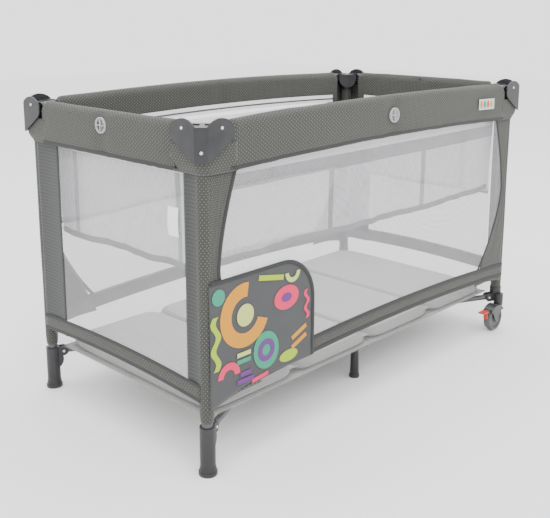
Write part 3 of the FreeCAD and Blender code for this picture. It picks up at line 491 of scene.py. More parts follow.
# Long and short walls: knitted diamond net stretched in the window of each wall, with an arched band
# of dotted cloth along the foot. Both are sewn to the webs and pulled taut by the posts.
def open_net():
    """A knitted diamond net in metres of cloth; its holes are cut by Alpha."""
    tree, given, out = shader_group(
        "open_net",
        [("Cloth", "Vector", None), ("Colour", "Color", (0.7, 0.7, 0.7, 1)),
         ("Cell", "Float", 0.003), ("Thread", "Float", 0.2), ("Cover", "Float", 0.1)],
        [("Colour", "Color"), ("Roughness", "Float"), ("Alpha", "Float"), ("Height", "Float")])
    along = node(tree, "SeparateXYZ", {0: given["Cloth"]}).outputs
    ridges = []
    for slope in ("ADD", "SUBTRACT"):
        lean = calc(tree, slope, calc(tree, "MULTIPLY", along[0], 1.35), along[1])
        off = calc(tree, "SUBTRACT", calc(tree, "FRACT", calc(tree, "DIVIDE", lean, given["Cell"])), 0.5)
        ridges.append(calc(tree, "ABSOLUTE", off))
    near = calc(tree, "MINIMUM", *ridges)
    thread = node(tree, "MapRange", {"Value": near, "From Min": given["Thread"],
                                     "From Max": calc(tree, "MULTIPLY", given["Thread"], 0.7)})
    cloud = node(tree, "TexNoise", {"Vector": given["Cloth"], "Scale": 14.0, "Detail": 3.0})
    knot = calc(tree, "SUBTRACT", 0.5, calc(tree, "MAXIMUM", *ridges))
    shade = calc(tree, "MULTIPLY_ADD", knot, 0.5, calc(tree, "MULTIPLY_ADD", cloud.outputs["Fac"],
                                                       0.2, 0.55))
    tree.links.new(mix(tree, shade, (0.05, 0.05, 0.05, 1), given["Colour"]), out["Colour"])
    tree.links.new(calc(tree, "MULTIPLY_ADD", knot, 0.2, 0.7), out["Roughness"])
    tree.links.new(calc(tree, "MAXIMUM", thread.outputs[0], given["Cover"]), out["Alpha"])
    tree.links.new(knot, out["Height"])
    return tree


net = open_net()
window_net = cloth_material("window_net", net, 0.0002,
                            {"Colour": (0.66, 0.66, 0.69, 1), "Cell": 0.0066, "Thread": 0.115,
                             "Cover": 0.04})


def band_low(share, arch):
    """The lower edge of a wall's band; share runs from -1 to 1 along the wall."""
    return corner_z + arch * (1 - share * share)


tape_wide = 0.010
long_half = wall_high.x
short_half = short_high.y
short_net_from, short_net_to = -0.259, 0.202
long_net_half = 0.56
walls = {"front": ("fl", -1, False), "rear": ("rl", 1, False),
         "left": ("fl", -1, True), "right": ("fr", 1, True)}
for side, (corner, sign, short) in walls.items():
    fold = wall_fold(corner, short)
    half = short_half if short else long_half
    arch = band_arch / 2 if short else band_arch
    plane = sign * (short_wall_x if short else long_wall_y)

    def put(reach, out, z, short=short, sign=sign):
        """A point of a wall: along it, outward from its plane, and up."""
        return (plane + sign * out, reach, z) if short else (reach, plane + sign * out, z)

    def net_point(u, v):
        share = 2 * u - 1
        z = sewn_low - 0.003 + (wall_top - sewn_low + 0.003) * v
        if short:
            reach = short_net_from + u * (short_net_to - short_net_from)
        else:
            reach = share * (long_edge(z) + 0.003)
        foot = band_low(reach / half, arch) + band_tall - 0.003
        z = foot + (wall_top - foot) * v
        bow = 0.005 * math.sin(math.pi * u) * math.sin(math.pi * v)
        return put(reach, -bow + ripple(u * 3, v * 2, 0.0012, plane * 9), z)

    wide = short_net_to - short_net_from if short else 2 * long_net_half
    tall = wall_top - sewn_low
    window = sheet_grid(f"wall_net_{side}", 60 if not short else 30, 36, net_point,
                        lambda u, v: (u * wide, v * tall), window_net)
    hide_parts(f"wall_{side}")
    fold_with(window, corner, *fold)

    def band_point(u, v):
        share = (2 * u - 1)
        z = band_low(share, arch) + v * band_tall
        swell = 0.0012 * math.sin(math.pi * v) + ripple(u * 6, v, 0.0008, plane * 5)
        return put(share * (half - 0.012), swell, z)

    band = sheet_grid(f"wall_band_{side}", 90 if not short else 44, 8, band_point,
                      lambda u, v: (u * 2 * half, v * band_tall), grey_dotted)
    thicken(band, 0.0014)
    fold_with(band, corner, *fold)
    # The long walls' direction is longer than 1, which makes their tapes wider than tape_wide.
    tape_out = (sign, 0, 0) if short else (0, plane + sign, 0)
    for name, rise in (("top", band_tall), ("foot", 0.005)):
        path = [put(share * (half - 0.014), 0.0006, band_low(share, arch) + rise)
                for share in (n / 30 - 1 for n in range(61))]
        tape, tape_length = bind(f"band_{name}_tape_{side}", path, tape_wide, tape_out, dark_tape)
        fold_with(tape, corner, *fold)


# Floor cloth and skirt: pale woven base cloth over the struts, in four quarters that gather along their
# strut, and a strip of open net that slopes down to it from inside each band. The net is tinted mid grey
# as painted shade below the bands.
def plain_weave():
    """A plain weave in metres of cloth, softly clouded."""
    tree, given, out = shader_group(
        "plain_weave",
        [("Cloth", "Vector", None), ("Colour", "Color", (0.6, 0.6, 0.6, 1)),
         ("Thread Pitch", "Float", 0.0012)],
        [("Colour", "Color"), ("Roughness", "Float"), ("Height", "Float")])
    along = node(tree, "SeparateXYZ", {0: given["Cloth"]}).outputs
    waves = [calc(tree, "SINE", calc(tree, "DIVIDE", calc(tree, "MULTIPLY", along[n], 2 * math.pi),
                                     given["Thread Pitch"])) for n in (0, 1)]
    weave = calc(tree, "MULTIPLY_ADD", calc(tree, "MULTIPLY", *waves), 0.5, 0.5)
    cloud = node(tree, "TexNoise", {"Vector": given["Cloth"], "Scale": 12.0, "Detail": 5.0})
    shade = calc(tree, "MULTIPLY_ADD", weave, 0.12,
                 calc(tree, "MULTIPLY_ADD", cloud.outputs["Fac"], 0.16, 0.78))
    tree.links.new(mix(tree, shade, (0.1, 0.1, 0.09, 1), given["Colour"]), out["Colour"])
    tree.links.new(calc(tree, "MULTIPLY_ADD", weave, 0.08, 0.84), out["Roughness"])
    tree.links.new(weave, out["Height"])
    return tree


plain = plain_weave()
pale_cloth = cloth_material("pale_lining_cloth", plain, 0.00012, {"Colour": (0.46, 0.46, 0.44, 1)},
                            sheen_weight=0.1)
base_cloth = cloth_material("base_cloth", plain, 0.00012, {"Colour": (0.34, 0.34, 0.33, 1)})
# The skirt net's mid grey is painted shade: it darkens what shows below each band.
shade_tinted_skirt_net = cloth_material("shade_tinted_skirt_net", net, 0.0002, {"Colour": (0.42, 0.42, 0.43, 1),
                                                      "Cell": 0.0046, "Thread": 0.05,
                                                      "Cover": 0.0})
floor_low, floor_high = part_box("fabric_floor")
for side, (corner, sign, short) in walls.items():
    fold = wall_fold(corner, short)
    half = (short_half if short else long_half) - 0.03
    arch = band_arch / 2 if short else band_arch
    wall_at = (short_wall_x if short else long_wall_y) - 0.003
    foot_at = floor_high.x + 0.006 if short else floor_high.y + 0.006
    slope = math.hypot(wall_at - foot_at, corner_z + band_tall - floor_high.z)

    def skirt_point(u, v):
        share = 2 * u - 1
        top = band_low(share, arch) + band_tall - 0.004
        dip = 0.006 * math.sin(math.pi * v) + ripple(u * 8, v, 0.002, wall_at * 3)
        out = foot_at + (wall_at - foot_at) * v ** 0.8
        z = floor_high.z - 0.001 + (top - floor_high.z) * v - dip * (1 - v)
        reach = share * half
        return (sign * out, reach, z) if short else (reach, sign * out, z)

    skirt = sheet_grid(f"floor_skirt_{side}", 60 if not short else 30, 10, skirt_point,
                       lambda u, v: (u * 2 * half, v * slope), shade_tinted_skirt_net)
    fold_with(skirt, corner, *fold)


for corner, (sx, sy) in corners.items():
    def floor_point(u, v, sx=sx, sy=sy):
        x, y = sx * floor_high.x * u, sy * floor_high.y * v
        return (x, y, (floor_low.z + floor_high.z) / 2 + ripple(x, y, 0.0007, 2.2))

    quarter = sheet_grid(f"floor_cloth_{corner}", 30, 16, floor_point,
                         lambda u, v: (u * floor_high.x, v * floor_high.y), base_cloth)
    thicken(quarter, 0.0014)
    if corner == "fl":
        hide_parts("fabric_floor")
    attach(quarter, f"strut_{corner}")
    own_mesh(quarter)


# Mattress: four foam boards, pale cloth on top and base cloth round the sides, joined by a cloth
# between them so that it folds in four, with a piped edge on every board.
def inflate(piece, sewn, cap, pressure=4.0, frames=20):
    """Let the filling press the cloth outward, and keep the result within a cap per point."""
    scene = bpy.context.scene
    start = [v.co.copy() for v in piece.data.vertices]
    held = piece.vertex_groups.new(name="sewn")
    held.add(sewn, 1.0, "REPLACE")
    cloth = piece.modifiers.new("filling", "CLOTH")
    cloth.settings.use_pressure = True
    cloth.settings.uniform_pressure_force = pressure
    cloth.settings.effector_weights.gravity = 0.0
    cloth.settings.vertex_group_mass = "sewn"
    for step in range(1, frames + 1):
        scene.frame_set(step)
    shaped = piece.evaluated_get(bpy.context.evaluated_depsgraph_get()).data
    moved = [v.co.copy() for v in shaped.vertices]
    piece.modifiers.remove(cloth)
    piece.vertex_groups.remove(held)
    for vertex, old, new in zip(piece.data.vertices, start, moved):
        push = new - old
        vertex.co = old + push * min(1.0, cap / max(push.length, 1e-9))
    scene.frame_set(1)


def board_section(half, height, edge, n):
    """Points round half a rounded board's section, from the bottom middle to the top middle."""
    points = []
    for k in range(n + 1):
        share = k / n
        if share < 0.3:
            points.append((half * share / 0.3 * (1 - edge / half), 0.0))
        elif share > 0.7:
            points.append((half * (1 - share) / 0.3 * (1 - edge / half), height))
        else:
            turn = (share - 0.3) / 0.4 * math.pi - math.pi / 2
            points.append((half - edge + edge * math.cos(turn), height / 2 * (1 + math.sin(turn))))
    return points


mattress_low, mattress_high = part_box("mattress")
seam = 0.008
board_half_x = (mattress_high.x - mattress_low.x - 3 * seam) / 8
board_half_y = (mattress_high.y - mattress_low.y) / 2
board_tall = mattress_high.z - mattress_low.z
board_pitch = 2 * board_half_x + seam
board_power = 10
board_columns, board_rows, first_top_row = 96, 20, 14
crown_rise = 0.0035
for n in range(4):
    centre_x = (n - 1.5) * board_pitch
    rings = board_section(1.0, board_tall, 0.06, board_rows)

    def board_point(u, v, centre_x=centre_x):
        turn = 2 * math.pi * u
        spot = v * board_rows
        low = min(int(spot), board_rows - 1)
        share = spot - low
        reach = rings[low][0] * (1 - share) + rings[low + 1][0] * share
        z = rings[low][1] * (1 - share) + rings[low + 1][1] * share
        c, s = math.cos(turn), math.sin(turn)
        stretch = (abs(c) ** board_power + abs(s) ** board_power) ** (-1 / board_power)
        x, y = c * stretch * reach * board_half_x, s * stretch * reach * board_half_y
        on_top = 1 if z > board_tall / 2 else 0
        crown = crown_rise * (1 - reach ** 2) * on_top
        return (centre_x + x, y, mattress_low.z + z + crown + ripple(x + centre_x, y, 0.0006, 1.3)
                * on_top)

    board = sheet_grid(f"mattress_board_{n + 1}", board_columns, board_rows, board_point,
                       lambda u, v, n=n: (u * 1.6 + n, v * 0.33), pale_cloth, close=True)
    flat_uv = board.data.uv_layers["cloth"]
    for loop in board.data.loops:
        place = board.data.vertices[loop.vertex_index].co
        flat_uv.data[loop.index].uv = (place.x, place.y + place.z)
    board.data.materials.append(base_cloth)
    for face in board.data.polygons:
        face.material_index = 1 if face.index // board_columns < first_top_row else 0
    inflate(board, [v.index for v in board.data.vertices if v.co.z < mattress_low.z + 0.004], 0.004)
    path = []
    for k in range(board_columns + 1):
        turn = 2 * math.pi * k / board_columns
        c, s = math.cos(turn), math.sin(turn)
        stretch = (abs(c) ** board_power + abs(s) ** board_power) ** (-1 / board_power)
        path.append((centre_x + c * stretch * board_half_x, s * stretch * board_half_y,
                     mattress_low.z + board_tall * 0.5))
    cord_mesh = bpy.data.curves.new(f"board_piping_{n + 1}", "CURVE")
    cord_mesh.dimensions, cord_mesh.bevel_depth, cord_mesh.bevel_resolution = "3D", 0.0017, 2
    line = cord_mesh.splines.new("POLY")
    line.points.add(len(path) - 2)
    line.use_cyclic_u = True
    for point, spot in zip(line.points, path):
        point.co = (*spot, 1)
    shape = bpy.data.objects.new(f"board_piping_{n + 1}", cord_mesh)
    bpy.context.scene.collection.objects.link(shape)
    mesh = bpy.data.meshes.new_from_object(shape)
    bpy.data.objects.remove(shape)
    mesh.name = f"board_piping_{n + 1}"
    piping = bpy.data.objects.new(f"board_piping_{n + 1}", mesh)
    bpy.context.scene.collection.objects.link(piping)
    mesh.uv_layers.new(name="cloth")
    mesh.materials.clear()
    mesh.materials.append(base_cloth)
    mesh.shade_smooth()
    for piece in (board, piping):
        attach(piece, "mattress")
        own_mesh(piece)
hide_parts("mattress")


hinge_long = 3.1 * board_pitch
hinge_wide = 2 * board_half_y - 0.03


def seam_point(u, v):
    x = (u - 0.5) * hinge_long
    y = (v - 0.5) * hinge_wide
    return (x, y, mattress_low.z + board_tall * 0.5)


hinges = sheet_grid("mattress_hinge_cloth", 60, 16, seam_point,
                    lambda u, v: (u * hinge_long, v * 0.52), pale_cloth)
thicken(hinges, 0.001)
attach(hinges, "mattress")
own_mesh(hinges)


# Upper liner: a white and grey knitted valance zipped inside the rail, four sides hanging to a
# bound hem, with grey tapes sewn down between its white net windows.
liner_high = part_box("upper_liner")[1]
white_satin = cloth_material("white_satin_band", plain, 0.0001, {"Colour": (0.90, 0.90, 0.92, 1)},
                             sheen_weight=0.2, roughness=0.5)
grey_knit = cloth_material("grey_knit_band", net, 0.0002,
                           {"Colour": (0.15, 0.15, 0.155, 1), "Cell": 0.0034, "Thread": 0.25,
                            "Cover": 0.55})
soft_net = cloth_material("soft_net", net, 0.0002,
                          {"Colour": (0.84, 0.84, 0.87, 1), "Cell": 0.0056, "Thread": 0.2,
                           "Cover": 0.5})
white_edge, grey_edge = 0.636, 0.602
tape_half = 0.009
hem_wide = 0.016
hem_tape = cloth_material("hem_tape", ribbed, 0.0002,
                          {"Colour": (0.16, 0.16, 0.165, 1), "Rib Pitch": 0.003})
hangings = {"front": ("fl", -1, False, (-0.175, 0.203), 0.449),
            "rear": ("rl", 1, False, (-0.175, 0.203), 0.449),
            "left": ("fl", -1, True, (-0.185, 0.205), 0.430),
            "right": ("fr", 1, True, (-0.185, 0.205), 0.430)}
for side, (corner, sign, short, tapes, hem_z) in hangings.items():
    fold = wall_fold(corner, short)
    half = (liner_high.y if short else liner_high.x) - 0.004
    plane = sign * ((liner_high.x if short else liner_high.y) - 0.0015)
    stops = sorted({-half, half, *(t + s * tape_half for t in tapes for s in (-1, 1))})
    columns = []
    for a, b in zip(stops, stops[1:]):
        count = max(2, round((b - a) / 0.012))
        columns += [a + (b - a) * k / count for k in range(count)]
    columns.append(half)
    heights = [liner_high.z, white_edge, grey_edge]
    heights += [grey_edge + (hem_z - grey_edge) * k / 14 for k in range(1, 15)]

    def liner_point(u, v):
        x = columns[min(len(columns) - 1, round(u * (len(columns) - 1)))]
        z = heights[min(len(heights) - 1, round(v * (len(heights) - 1)))]
        hang = max(0.0, (liner_high.z - z) / (liner_high.z - hem_z))
        wave = ripple(x * 1.7, z * 0.4, 0.011, sign * 4 + short) * hang
        wave += 0.0025 * hang * math.sin(x * 61 + 2 * math.sin(x * 17))
        z += 0.012 * hang * noise.noise(Vector((x * 4, 7.7, sign)))
        out = plane - sign * (0.004 * hang) + wave
        return (out, x, z) if short else (x, out, z)

    tall = liner_high.z - hem_z
    hanging = sheet_grid(f"liner_{side}", len(columns) - 1, len(heights) - 1, liner_point,
                         lambda u, v: (columns[round(u * (len(columns) - 1))],
                                       heights[round(v * (len(heights) - 1))]), white_satin)
    hanging.data.materials.append(grey_knit)
    hanging.data.materials.append(soft_net)
    for face in hanging.data.polygons:
        column, row = face.index % (len(columns) - 1), face.index // (len(columns) - 1)
        middle = (columns[column] + columns[column + 1]) / 2
        on_tape = any(abs(middle - t) < tape_half for t in tapes)
        if row:
            face.material_index = 1 if row == 1 and not short or on_tape else 2
    if side == "front":
        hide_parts("upper_liner")
    fold_with(hanging, corner, *fold)
    path = [liner_point(k / (len(columns) - 1), 1) for k in range(len(columns))]
    hem, hem_length = bind(f"liner_hem_{side}", path, hem_wide, (sign, 0, 0) if short else (0, sign, 0),
                           hem_tape)
    fold_with(hem, corner, *fold)


# Rail covers: dotted cloth sewn in a tube round foam on each rail, piped along the lower edge. The long
# ones rise a little to the middle, where the two rails are pinned and the cover is pinched in a little.
def cover_outline(half, height, turns):
    """Points of a cover's section: across from its middle line, up from its lower edge."""
    points = []
    top, low, outline_step = 0.017, 0.007, 0.009
    arcs = ((half - low, low, low, -90), (half - top, height - top, top, 0),
            (-half + top, height - top, top, 90), (-half + low, low, low, 180))
    for across, up, radius, start in arcs:
        for k in range(turns + 1):
            turn = math.radians(start + 90 * k / turns)
            points.append(Vector((across + radius * math.cos(turn), up + radius * math.sin(turn))))
    filled = []
    for n, here in enumerate(points):
        filled.append(here)
        ahead = points[(n + 1) % len(points)]
        gap = (ahead - here).length
        steps = round(gap / outline_step)
        for k in range(1, max(1, steps)):
            share = k / steps
            filled.append(here.lerp(ahead, share))
    return filled


cover_boxes = {side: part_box(f"rail_cover_{side}") for side in sides}


def to_cover(side, reach, across, z):
    """A point from a cover's own directions: along, outward from its middle, up."""
    sign = {"front": -1, "rear": 1, "left": -1, "right": 1}[side]
    low, high = cover_boxes[side]
    if side in ("front", "rear"):
        return (reach, (low.y + high.y) / 2 + sign * across, z)
    return ((low.x + high.x) / 2 + sign * across, reach, z)


cover_arch = {"front": 0.011, "rear": 0.011, "left": 0.0, "right": 0.0}
cover_halves = {}


def bend_with(piece):
    """Bake the piece's placement into its mesh."""
    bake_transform(piece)


for side in sides:
    low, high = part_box(f"rail_cover_{side}")
    short = side in ("left", "right")
    half_long = high.y if short else high.x
    rows = 56 if short else 110
    lining_columns = 50 if short else 110
    half_wide = ((high.x - low.x) if short else (high.y - low.y)) / 2
    arch = cover_arch[side]
    tall = high.z - low.z - arch
    cover_halves[side] = (half_long, half_wide, low.z, tall)
    outline = cover_outline(half_wide - 0.0025, tall, 5)
    walk = [0.0]
    for a, b in zip(outline, outline[1:] + outline[:1]):
        walk.append(walk[-1] + (b - a).length)

    def cover_point(u, v, side=side, half_long=half_long, low_z=low.z, outline=outline, arch=arch,
                    half_wide=half_wide):
        spot = outline[round(u * len(outline)) % len(outline)]
        reach = (2 * v - 1) * half_long
        share = reach / half_long
        tuck = 1 - 0.10 * max(0.0, (abs(share) - 0.975) / 0.025) ** 2
        puff = 1 + ripple(reach * 0.9, spot.y * 6, 0.030, half_long * 3)
        dent = 0.0022 * math.exp(-(reach / 0.022) ** 2)
        across = spot.x * tuck * puff - math.copysign(dent, spot.x) * (abs(spot.x) > half_wide * 0.6)
        across = max(-half_wide, min(half_wide, across))
        z = low_z + spot.y * tuck + arch * (1 - share * share)
        return to_cover(side, reach, across, z)

    cover = sheet_grid(f"rail_cover_{side}_cloth", len(outline), rows,
                       cover_point, lambda u, v, walk=walk, half_long=half_long:
                       (walk[round(u * (len(walk) - 1))], v * 2 * half_long), grey_dotted, close=True)
    sewn = [v.index for v in cover.data.vertices
            if v.co.z < low.z + 0.010 + arch or abs(abs(v.co.y if short else v.co.x) - half_long) < 0.02]
    inflate(cover, sewn, 0.0012)
    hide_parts(f"rail_cover_{side}")
    bend_with(cover)

    path = []
    for n in range(81):
        share = n / 40 - 1
        path.append(Vector(to_cover(side, share * (half_long - 0.004), half_wide - 0.0045,
                                    low.z + 0.003 + arch * (1 - share * share)
                                    - 0.0015 + ripple(share * 2, 3.3, 0.0012, half_long))))
    outward = {"front": (0, -1, 0), "rear": (0, 1, 0), "left": (-1, 0, 0), "right": (1, 0, 0)}[side]
    piping, piping_length = bind(f"cover_piping_{side}", path, tape_wide, outward, dark_tape, 0.0026)
    bend_with(piping)

    strip_top, strip_low = low.z + 0.026, low.z + 0.002

    def lining_point(u, v, side=side, half_long=half_long, half_wide=half_wide, arch=arch,
                     strip_top=strip_top, strip_low=strip_low):
        share = 2 * u - 1
        lift = arch * (1 - share * share)
        z = strip_low + v * (strip_top - strip_low)
        fold = ripple(share * 9, v * 3, 0.0022, half_long * 5) * (1 - 0.6 * v)
        across = -(half_wide + 0.0006 + max(0.0, fold))
        return to_cover(side, share * (half_long - 0.03), across, z + lift)

    lining = sheet_grid(f"cover_lining_{side}", lining_columns, 9, lining_point,
                        lambda u, v, half_long=half_long: (u * 2 * half_long, v * 0.024), white_satin)
    lining.data.materials.append(grey_knit)
    for face in lining.data.polygons:
        if face.index // lining_columns in (3, 4):
            face.material_index = 1
    bend_with(lining)


# Stitched marks: a raised ring with a plus in it, moulded in grey rubber and stitched to the front
# and left covers over the pinned middle, and a strip of small printed ovals on the front cover.
mark_grey = hard_material("mark_rubber_grey", (0.36, 0.365, 0.37), (0.5, 0.5, 0.5), 0.55,
                          grain=1600, wear=0.2)


def print_material(name, colour):
    return cloth_material(name, plain, 0.00008, {"Colour": (*colour, 1)}, roughness=0.8)


inks = {"mustard": print_material("print_mustard", (0.62, 0.26, 0.008)),
        "pink": print_material("print_pink", (0.70, 0.03, 0.11)),
        "teal": print_material("print_teal", (0.03, 0.28, 0.17)),
        "lime": print_material("print_lime", (0.36, 0.50, 0.015)),
        "pale_lime": print_material("print_pale_lime", (0.50, 0.58, 0.16)),
        "purple": print_material("print_purple", (0.13, 0.03, 0.20)),
        "cream": print_material("print_cream", (0.60, 0.60, 0.54))}


def loft(name, rows, material):
    """One mesh of many patches; each is a list of rings of points, joined ring to ring."""
    verts, faces = [], []
    for rings in rows:
        base = len(verts)
        size = len(rings[0])
        for ring in rings:
            verts += [tuple(p) for p in ring]
        for r in range(len(rings) - 1):
            for k in range(size):
                a, b = base + r * size + k, base + r * size + (k + 1) % size
                faces.append((a, b, b + size, a + size))
        faces.append(tuple(base + (len(rings) - 1) * size + k for k in range(size)))
    mesh = bpy.data.meshes.new(name)
    mesh.from_pydata(verts, [], faces)
    mesh.uv_layers.new(name="cloth")
    for loop in mesh.loops:
        spot = mesh.vertices[loop.vertex_index].co
        mesh.uv_layers["cloth"].data[loop.index].uv = (spot.x + spot.y, spot.z)
    mesh.materials.append(material)
    mesh.shade_smooth()
    made = bpy.data.objects.new(name, mesh)
    bpy.context.scene.collection.objects.link(made)
    return made


def ring_band(place, radius, width, rise, turns=40):
    """Rings of points for a raised round band; place maps across, up and outward to the frame."""
    rings = []
    for share, out in ((0.0, -2.5), (0.0, 0.7), (0.2, 1.0), (0.8, 1.0), (1.0, 0.7), (1.0, -2.5)):
        r = radius - width * share
        rings.append([place(r * math.cos(2 * math.pi * k / turns), r * math.sin(2 * math.pi * k / turns),
                            rise * out) for k in range(turns)])
    return rings


def pad_patch(place, outline, rise):
    """Rings of points for a raised flat patch with a soft edge."""
    middle = (sum(p[0] for p in outline) / len(outline), sum(p[1] for p in outline) / len(outline))
    rings = []
    for shrink, out in ((1.0, -2.0), (1.0, 0.6), (0.94, 1.0)):
        rings.append([place(middle[0] + (x - middle[0]) * shrink, middle[1] + (y - middle[1]) * shrink,
                            rise * out) for x, y in outline])
    return rings


def plus_outline(arm, thick):
    a, t = arm, thick / 2
    return [(t, t), (t, a), (-t, a), (-t, t), (-a, t), (-a, -t), (-t, -t), (-t, -a), (t, -a),
            (t, -t), (a, -t), (a, t)]


mark_heights = {"front": 0.720, "left": 0.725}
for side in mark_heights:
    half_long, half_wide, low_z, tall = cover_halves[side]
    mark_z = mark_heights[side]

    def on_cover(across, up, out, side=side, mark_z=mark_z, half_wide=half_wide):
        return to_cover(side, across, half_wide + 0.0004 + out, mark_z + up)

    mark = loft(f"cover_mark_{side}", [ring_band(on_cover, 0.018, 0.0024, 0.0014),
                                       pad_patch(on_cover, plus_outline(0.0125, 0.0026), 0.0014)],
                mark_grey)
    bend_with(mark)


def oval(across, up, wide, tall, turns=20, lean=0.0):
    points = []
    for k in range(turns):
        x, y = wide / 2 * math.cos(2 * math.pi * k / turns), tall / 2 * math.sin(2 * math.pi * k / turns)
        points.append((across + x * math.cos(lean) - y * math.sin(lean),
                       up + x * math.sin(lean) + y * math.cos(lean)))
    return points


half_long, half_wide, low_z, tall = cover_halves["front"]


def on_patch(across, up, out):
    lift = 0.011 * (1 - (across / half_long) ** 2)
    return to_cover("front", across, half_wide + 0.0002 + out, low_z + lift + up)


patch_box = [(0.393, 0.032), (0.474, 0.032), (0.474, 0.062), (0.393, 0.062)]
patch = loft("cover_patch_ground", [pad_patch(on_patch, patch_box, 0.0004)], inks["cream"])
patch_spots = {"mustard": (0.405, 0.047), "teal": (0.4225, 0.047), "pink": (0.440, 0.047),
               "lime": (0.4575, 0.047)}
patch_pieces = [patch]
for ink, (across, up) in patch_spots.items():
    patch_pieces.append(loft(f"cover_patch_{ink}", [pad_patch(on_patch, oval(across, up, 0.013, 0.021),
                                                              0.0008)], inks[ink]))
for piece in patch_pieces:
    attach(piece, "rail_front_b")


# Print panel: a plain grey woven sheet sewn over the left end of the front wall, screen-printed with
# abstract shapes in flat colours.
panel_grey = cloth_material("panel_grey_cloth", plain, 0.0001, {"Colour": (0.050, 0.052, 0.055, 1)},
                            sheen_weight=0.1)
panel_left, panel_right, panel_top, panel_low = -0.600, -0.283, 0.427, 0.150
panel_round = 0.100
panel_out = 0.0022


def on_panel(across, up, out):
    """A point on the panel's face."""
    swell = 0.0016 * math.sin(math.pi * min(1.0, max(0.0, (up - 0.15) / 0.28)))
    return (across, -(long_wall_y + panel_out + swell + out), up)


def panel_point(u, v):
    x = panel_left + u * (panel_right - panel_left)
    low = panel_low + 0.030 * math.sin(min(1.0, max(0.0, (x + 0.60) / 0.15)) * math.pi / 2)
    top = panel_top
    over = x - (panel_right - panel_round)
    if over > 0:
        top -= panel_round - math.sqrt(max(0.0, panel_round ** 2 - over ** 2))
    return on_panel(x, low + v * (top - low), ripple(x, v, 0.0008, 6.1))


panel = sheet_grid("print_panel", 50, 40, panel_point,
                   lambda u, v: (u * 0.317, v * 0.277), panel_grey)
thicken(panel, 0.001)


def arc_band(cx, cz, outer, inner, start, stop, turns=28):
    """A crescent or part ring as an outline."""
    points = []
    for k in range(turns + 1):
        turn = math.radians(start + (stop - start) * k / turns)
        points.append((cx + outer * math.cos(turn), cz + outer * math.sin(turn)))
    for k in range(turns, -1, -1):
        turn = math.radians(start + (stop - start) * k / turns)
        points.append((cx + inner * math.cos(turn), cz + inner * math.sin(turn)))
    return points


def print_shape(name, outlines, ink, lift):
    """Flat printed shapes, each outline a fan or a strip of points on the panel."""
    verts, faces = [], []
    for outline in outlines:
        base = len(verts)
        verts += [on_panel(x, z, lift) for x, z in outline]
        count = len(outline)
        faces += [(base + k, base + k + 1, base + count - 2 - k, base + count - 1 - k)
                  for k in range(count // 2 - 1)]
    mesh = bpy.data.meshes.new(name)
    mesh.from_pydata(verts, [], faces)
    mesh.uv_layers.new(name="cloth")
    for loop in mesh.loops:
        spot = mesh.vertices[loop.vertex_index].co
        mesh.uv_layers["cloth"].data[loop.index].uv = (spot.x, spot.z)
    mesh.materials.append(inks[ink])
    made = bpy.data.objects.new(name, mesh)
    bpy.context.scene.collection.objects.link(made)
    return made


def bar(x, z, wide, tall, lean=0.0):
    c, s = math.cos(lean), math.sin(lean)
    corners_at = ((-wide / 2, -tall / 2), (wide / 2, -tall / 2), (wide / 2, tall / 2),
                  (-wide / 2, tall / 2))
    return [(x + a * c - b * s, z + a * s + b * c) for a, b in corners_at]


def wavy_bar(x, z, long, thick, height, waves):
    """A wavy strip standing upright from a point."""
    left, right = [], []
    for k in range(33):
        share = k / 32
        sway = height * math.sin(2 * math.pi * waves * share)
        left.append((x + sway - thick / 2, z + long * share))
        right.append((x + sway + thick / 2, z + long * share))
    return left + right[::-1]


prints = {
    "mustard": [arc_band(-0.500, 0.338, 0.072, 0.040, 80, 340), bar(-0.330, 0.252, 0.052, 0.011, 0.4),
                bar(-0.330, 0.230, 0.052, 0.011, 0.4)],
    "pink": [oval(-0.372, 0.345, 0.080, 0.056), arc_band(-0.548, 0.212, 0.032, 0.016, 0, 180),
             wavy_bar(-0.305, 0.278, 0.070, 0.010, 0.005, 2), bar(-0.455, 0.182, 0.050, 0.010, 0.1)],
    "teal": [oval(-0.437, 0.240, 0.078, 0.090, lean=0.3), oval(-0.575, 0.395, 0.036, 0.036),
             bar(-0.505, 0.236, 0.040, 0.010)],
    "lime": [wavy_bar(-0.585, 0.235, 0.120, 0.015, 0.007, 2), oval(-0.365, 0.205, 0.060, 0.028),
             bar(-0.420, 0.402, 0.078, 0.012, -0.2)],
    "pale_lime": [oval(-0.500, 0.338, 0.050, 0.050), arc_band(-0.352, 0.400, 0.024, 0.013, 180, 360),
                  bar(-0.505, 0.252, 0.040, 0.010)],
    "purple": [bar(-0.500, 0.190, 0.050, 0.011), bar(-0.500, 0.206, 0.032, 0.011),
               arc_band(-0.437, 0.240, 0.026, 0.013, 0, 358), oval(-0.372, 0.345, 0.032, 0.020)]}
print_pieces = [panel]
for order, (ink, outlines) in enumerate(prints.items()):
    shapes = print_shape(f"panel_print_{ink}", outlines, ink, 0.0014 + 0.0002 * order)
    print_pieces.append(shapes)
binding_path = [on_panel(panel_right - panel_round + panel_round * math.sin(t),
                         panel_top - panel_round + panel_round * math.cos(t), 0.001)
                for t in (math.pi / 2 * k / 16 for k in range(17))]
binding_path = ([on_panel(panel_left + 0.003 + (panel_right - panel_round - panel_left) * k / 12,
                          panel_top, 0.001) for k in range(12)] + binding_path
                + [on_panel(panel_right, panel_top - panel_round - 0.145 * k / 10, 0.001)
                   for k in range(1, 11)])
panel_tape, panel_tape_length = bind("print_panel_binding", binding_path, tape_wide, (0, -1, 0),
                                     dark_tape)
print_pieces.append(panel_tape)
for piece in print_pieces:
    fold_with(piece, "fl", *wall_fold("fl", False))


# Rivets: hollow zinc-plated steel rivets, rolled over at the rim, that hold the brackets to the posts
# and rails, the struts to the feet, the side tubes to their hubs and the casters to their axles.
zinc = hard_material("bright_zinc", (0.62, 0.63, 0.64), (0.9, 0.9, 0.9), 0.26, grain=2400, wear=0.6,
                     metallic=1.0)
rivet_profile = ((0.0, -0.1), (0.0, 0.55), (0.18, 0.95), (0.42, 1.0), (0.62, 0.75), (0.7, 0.2))


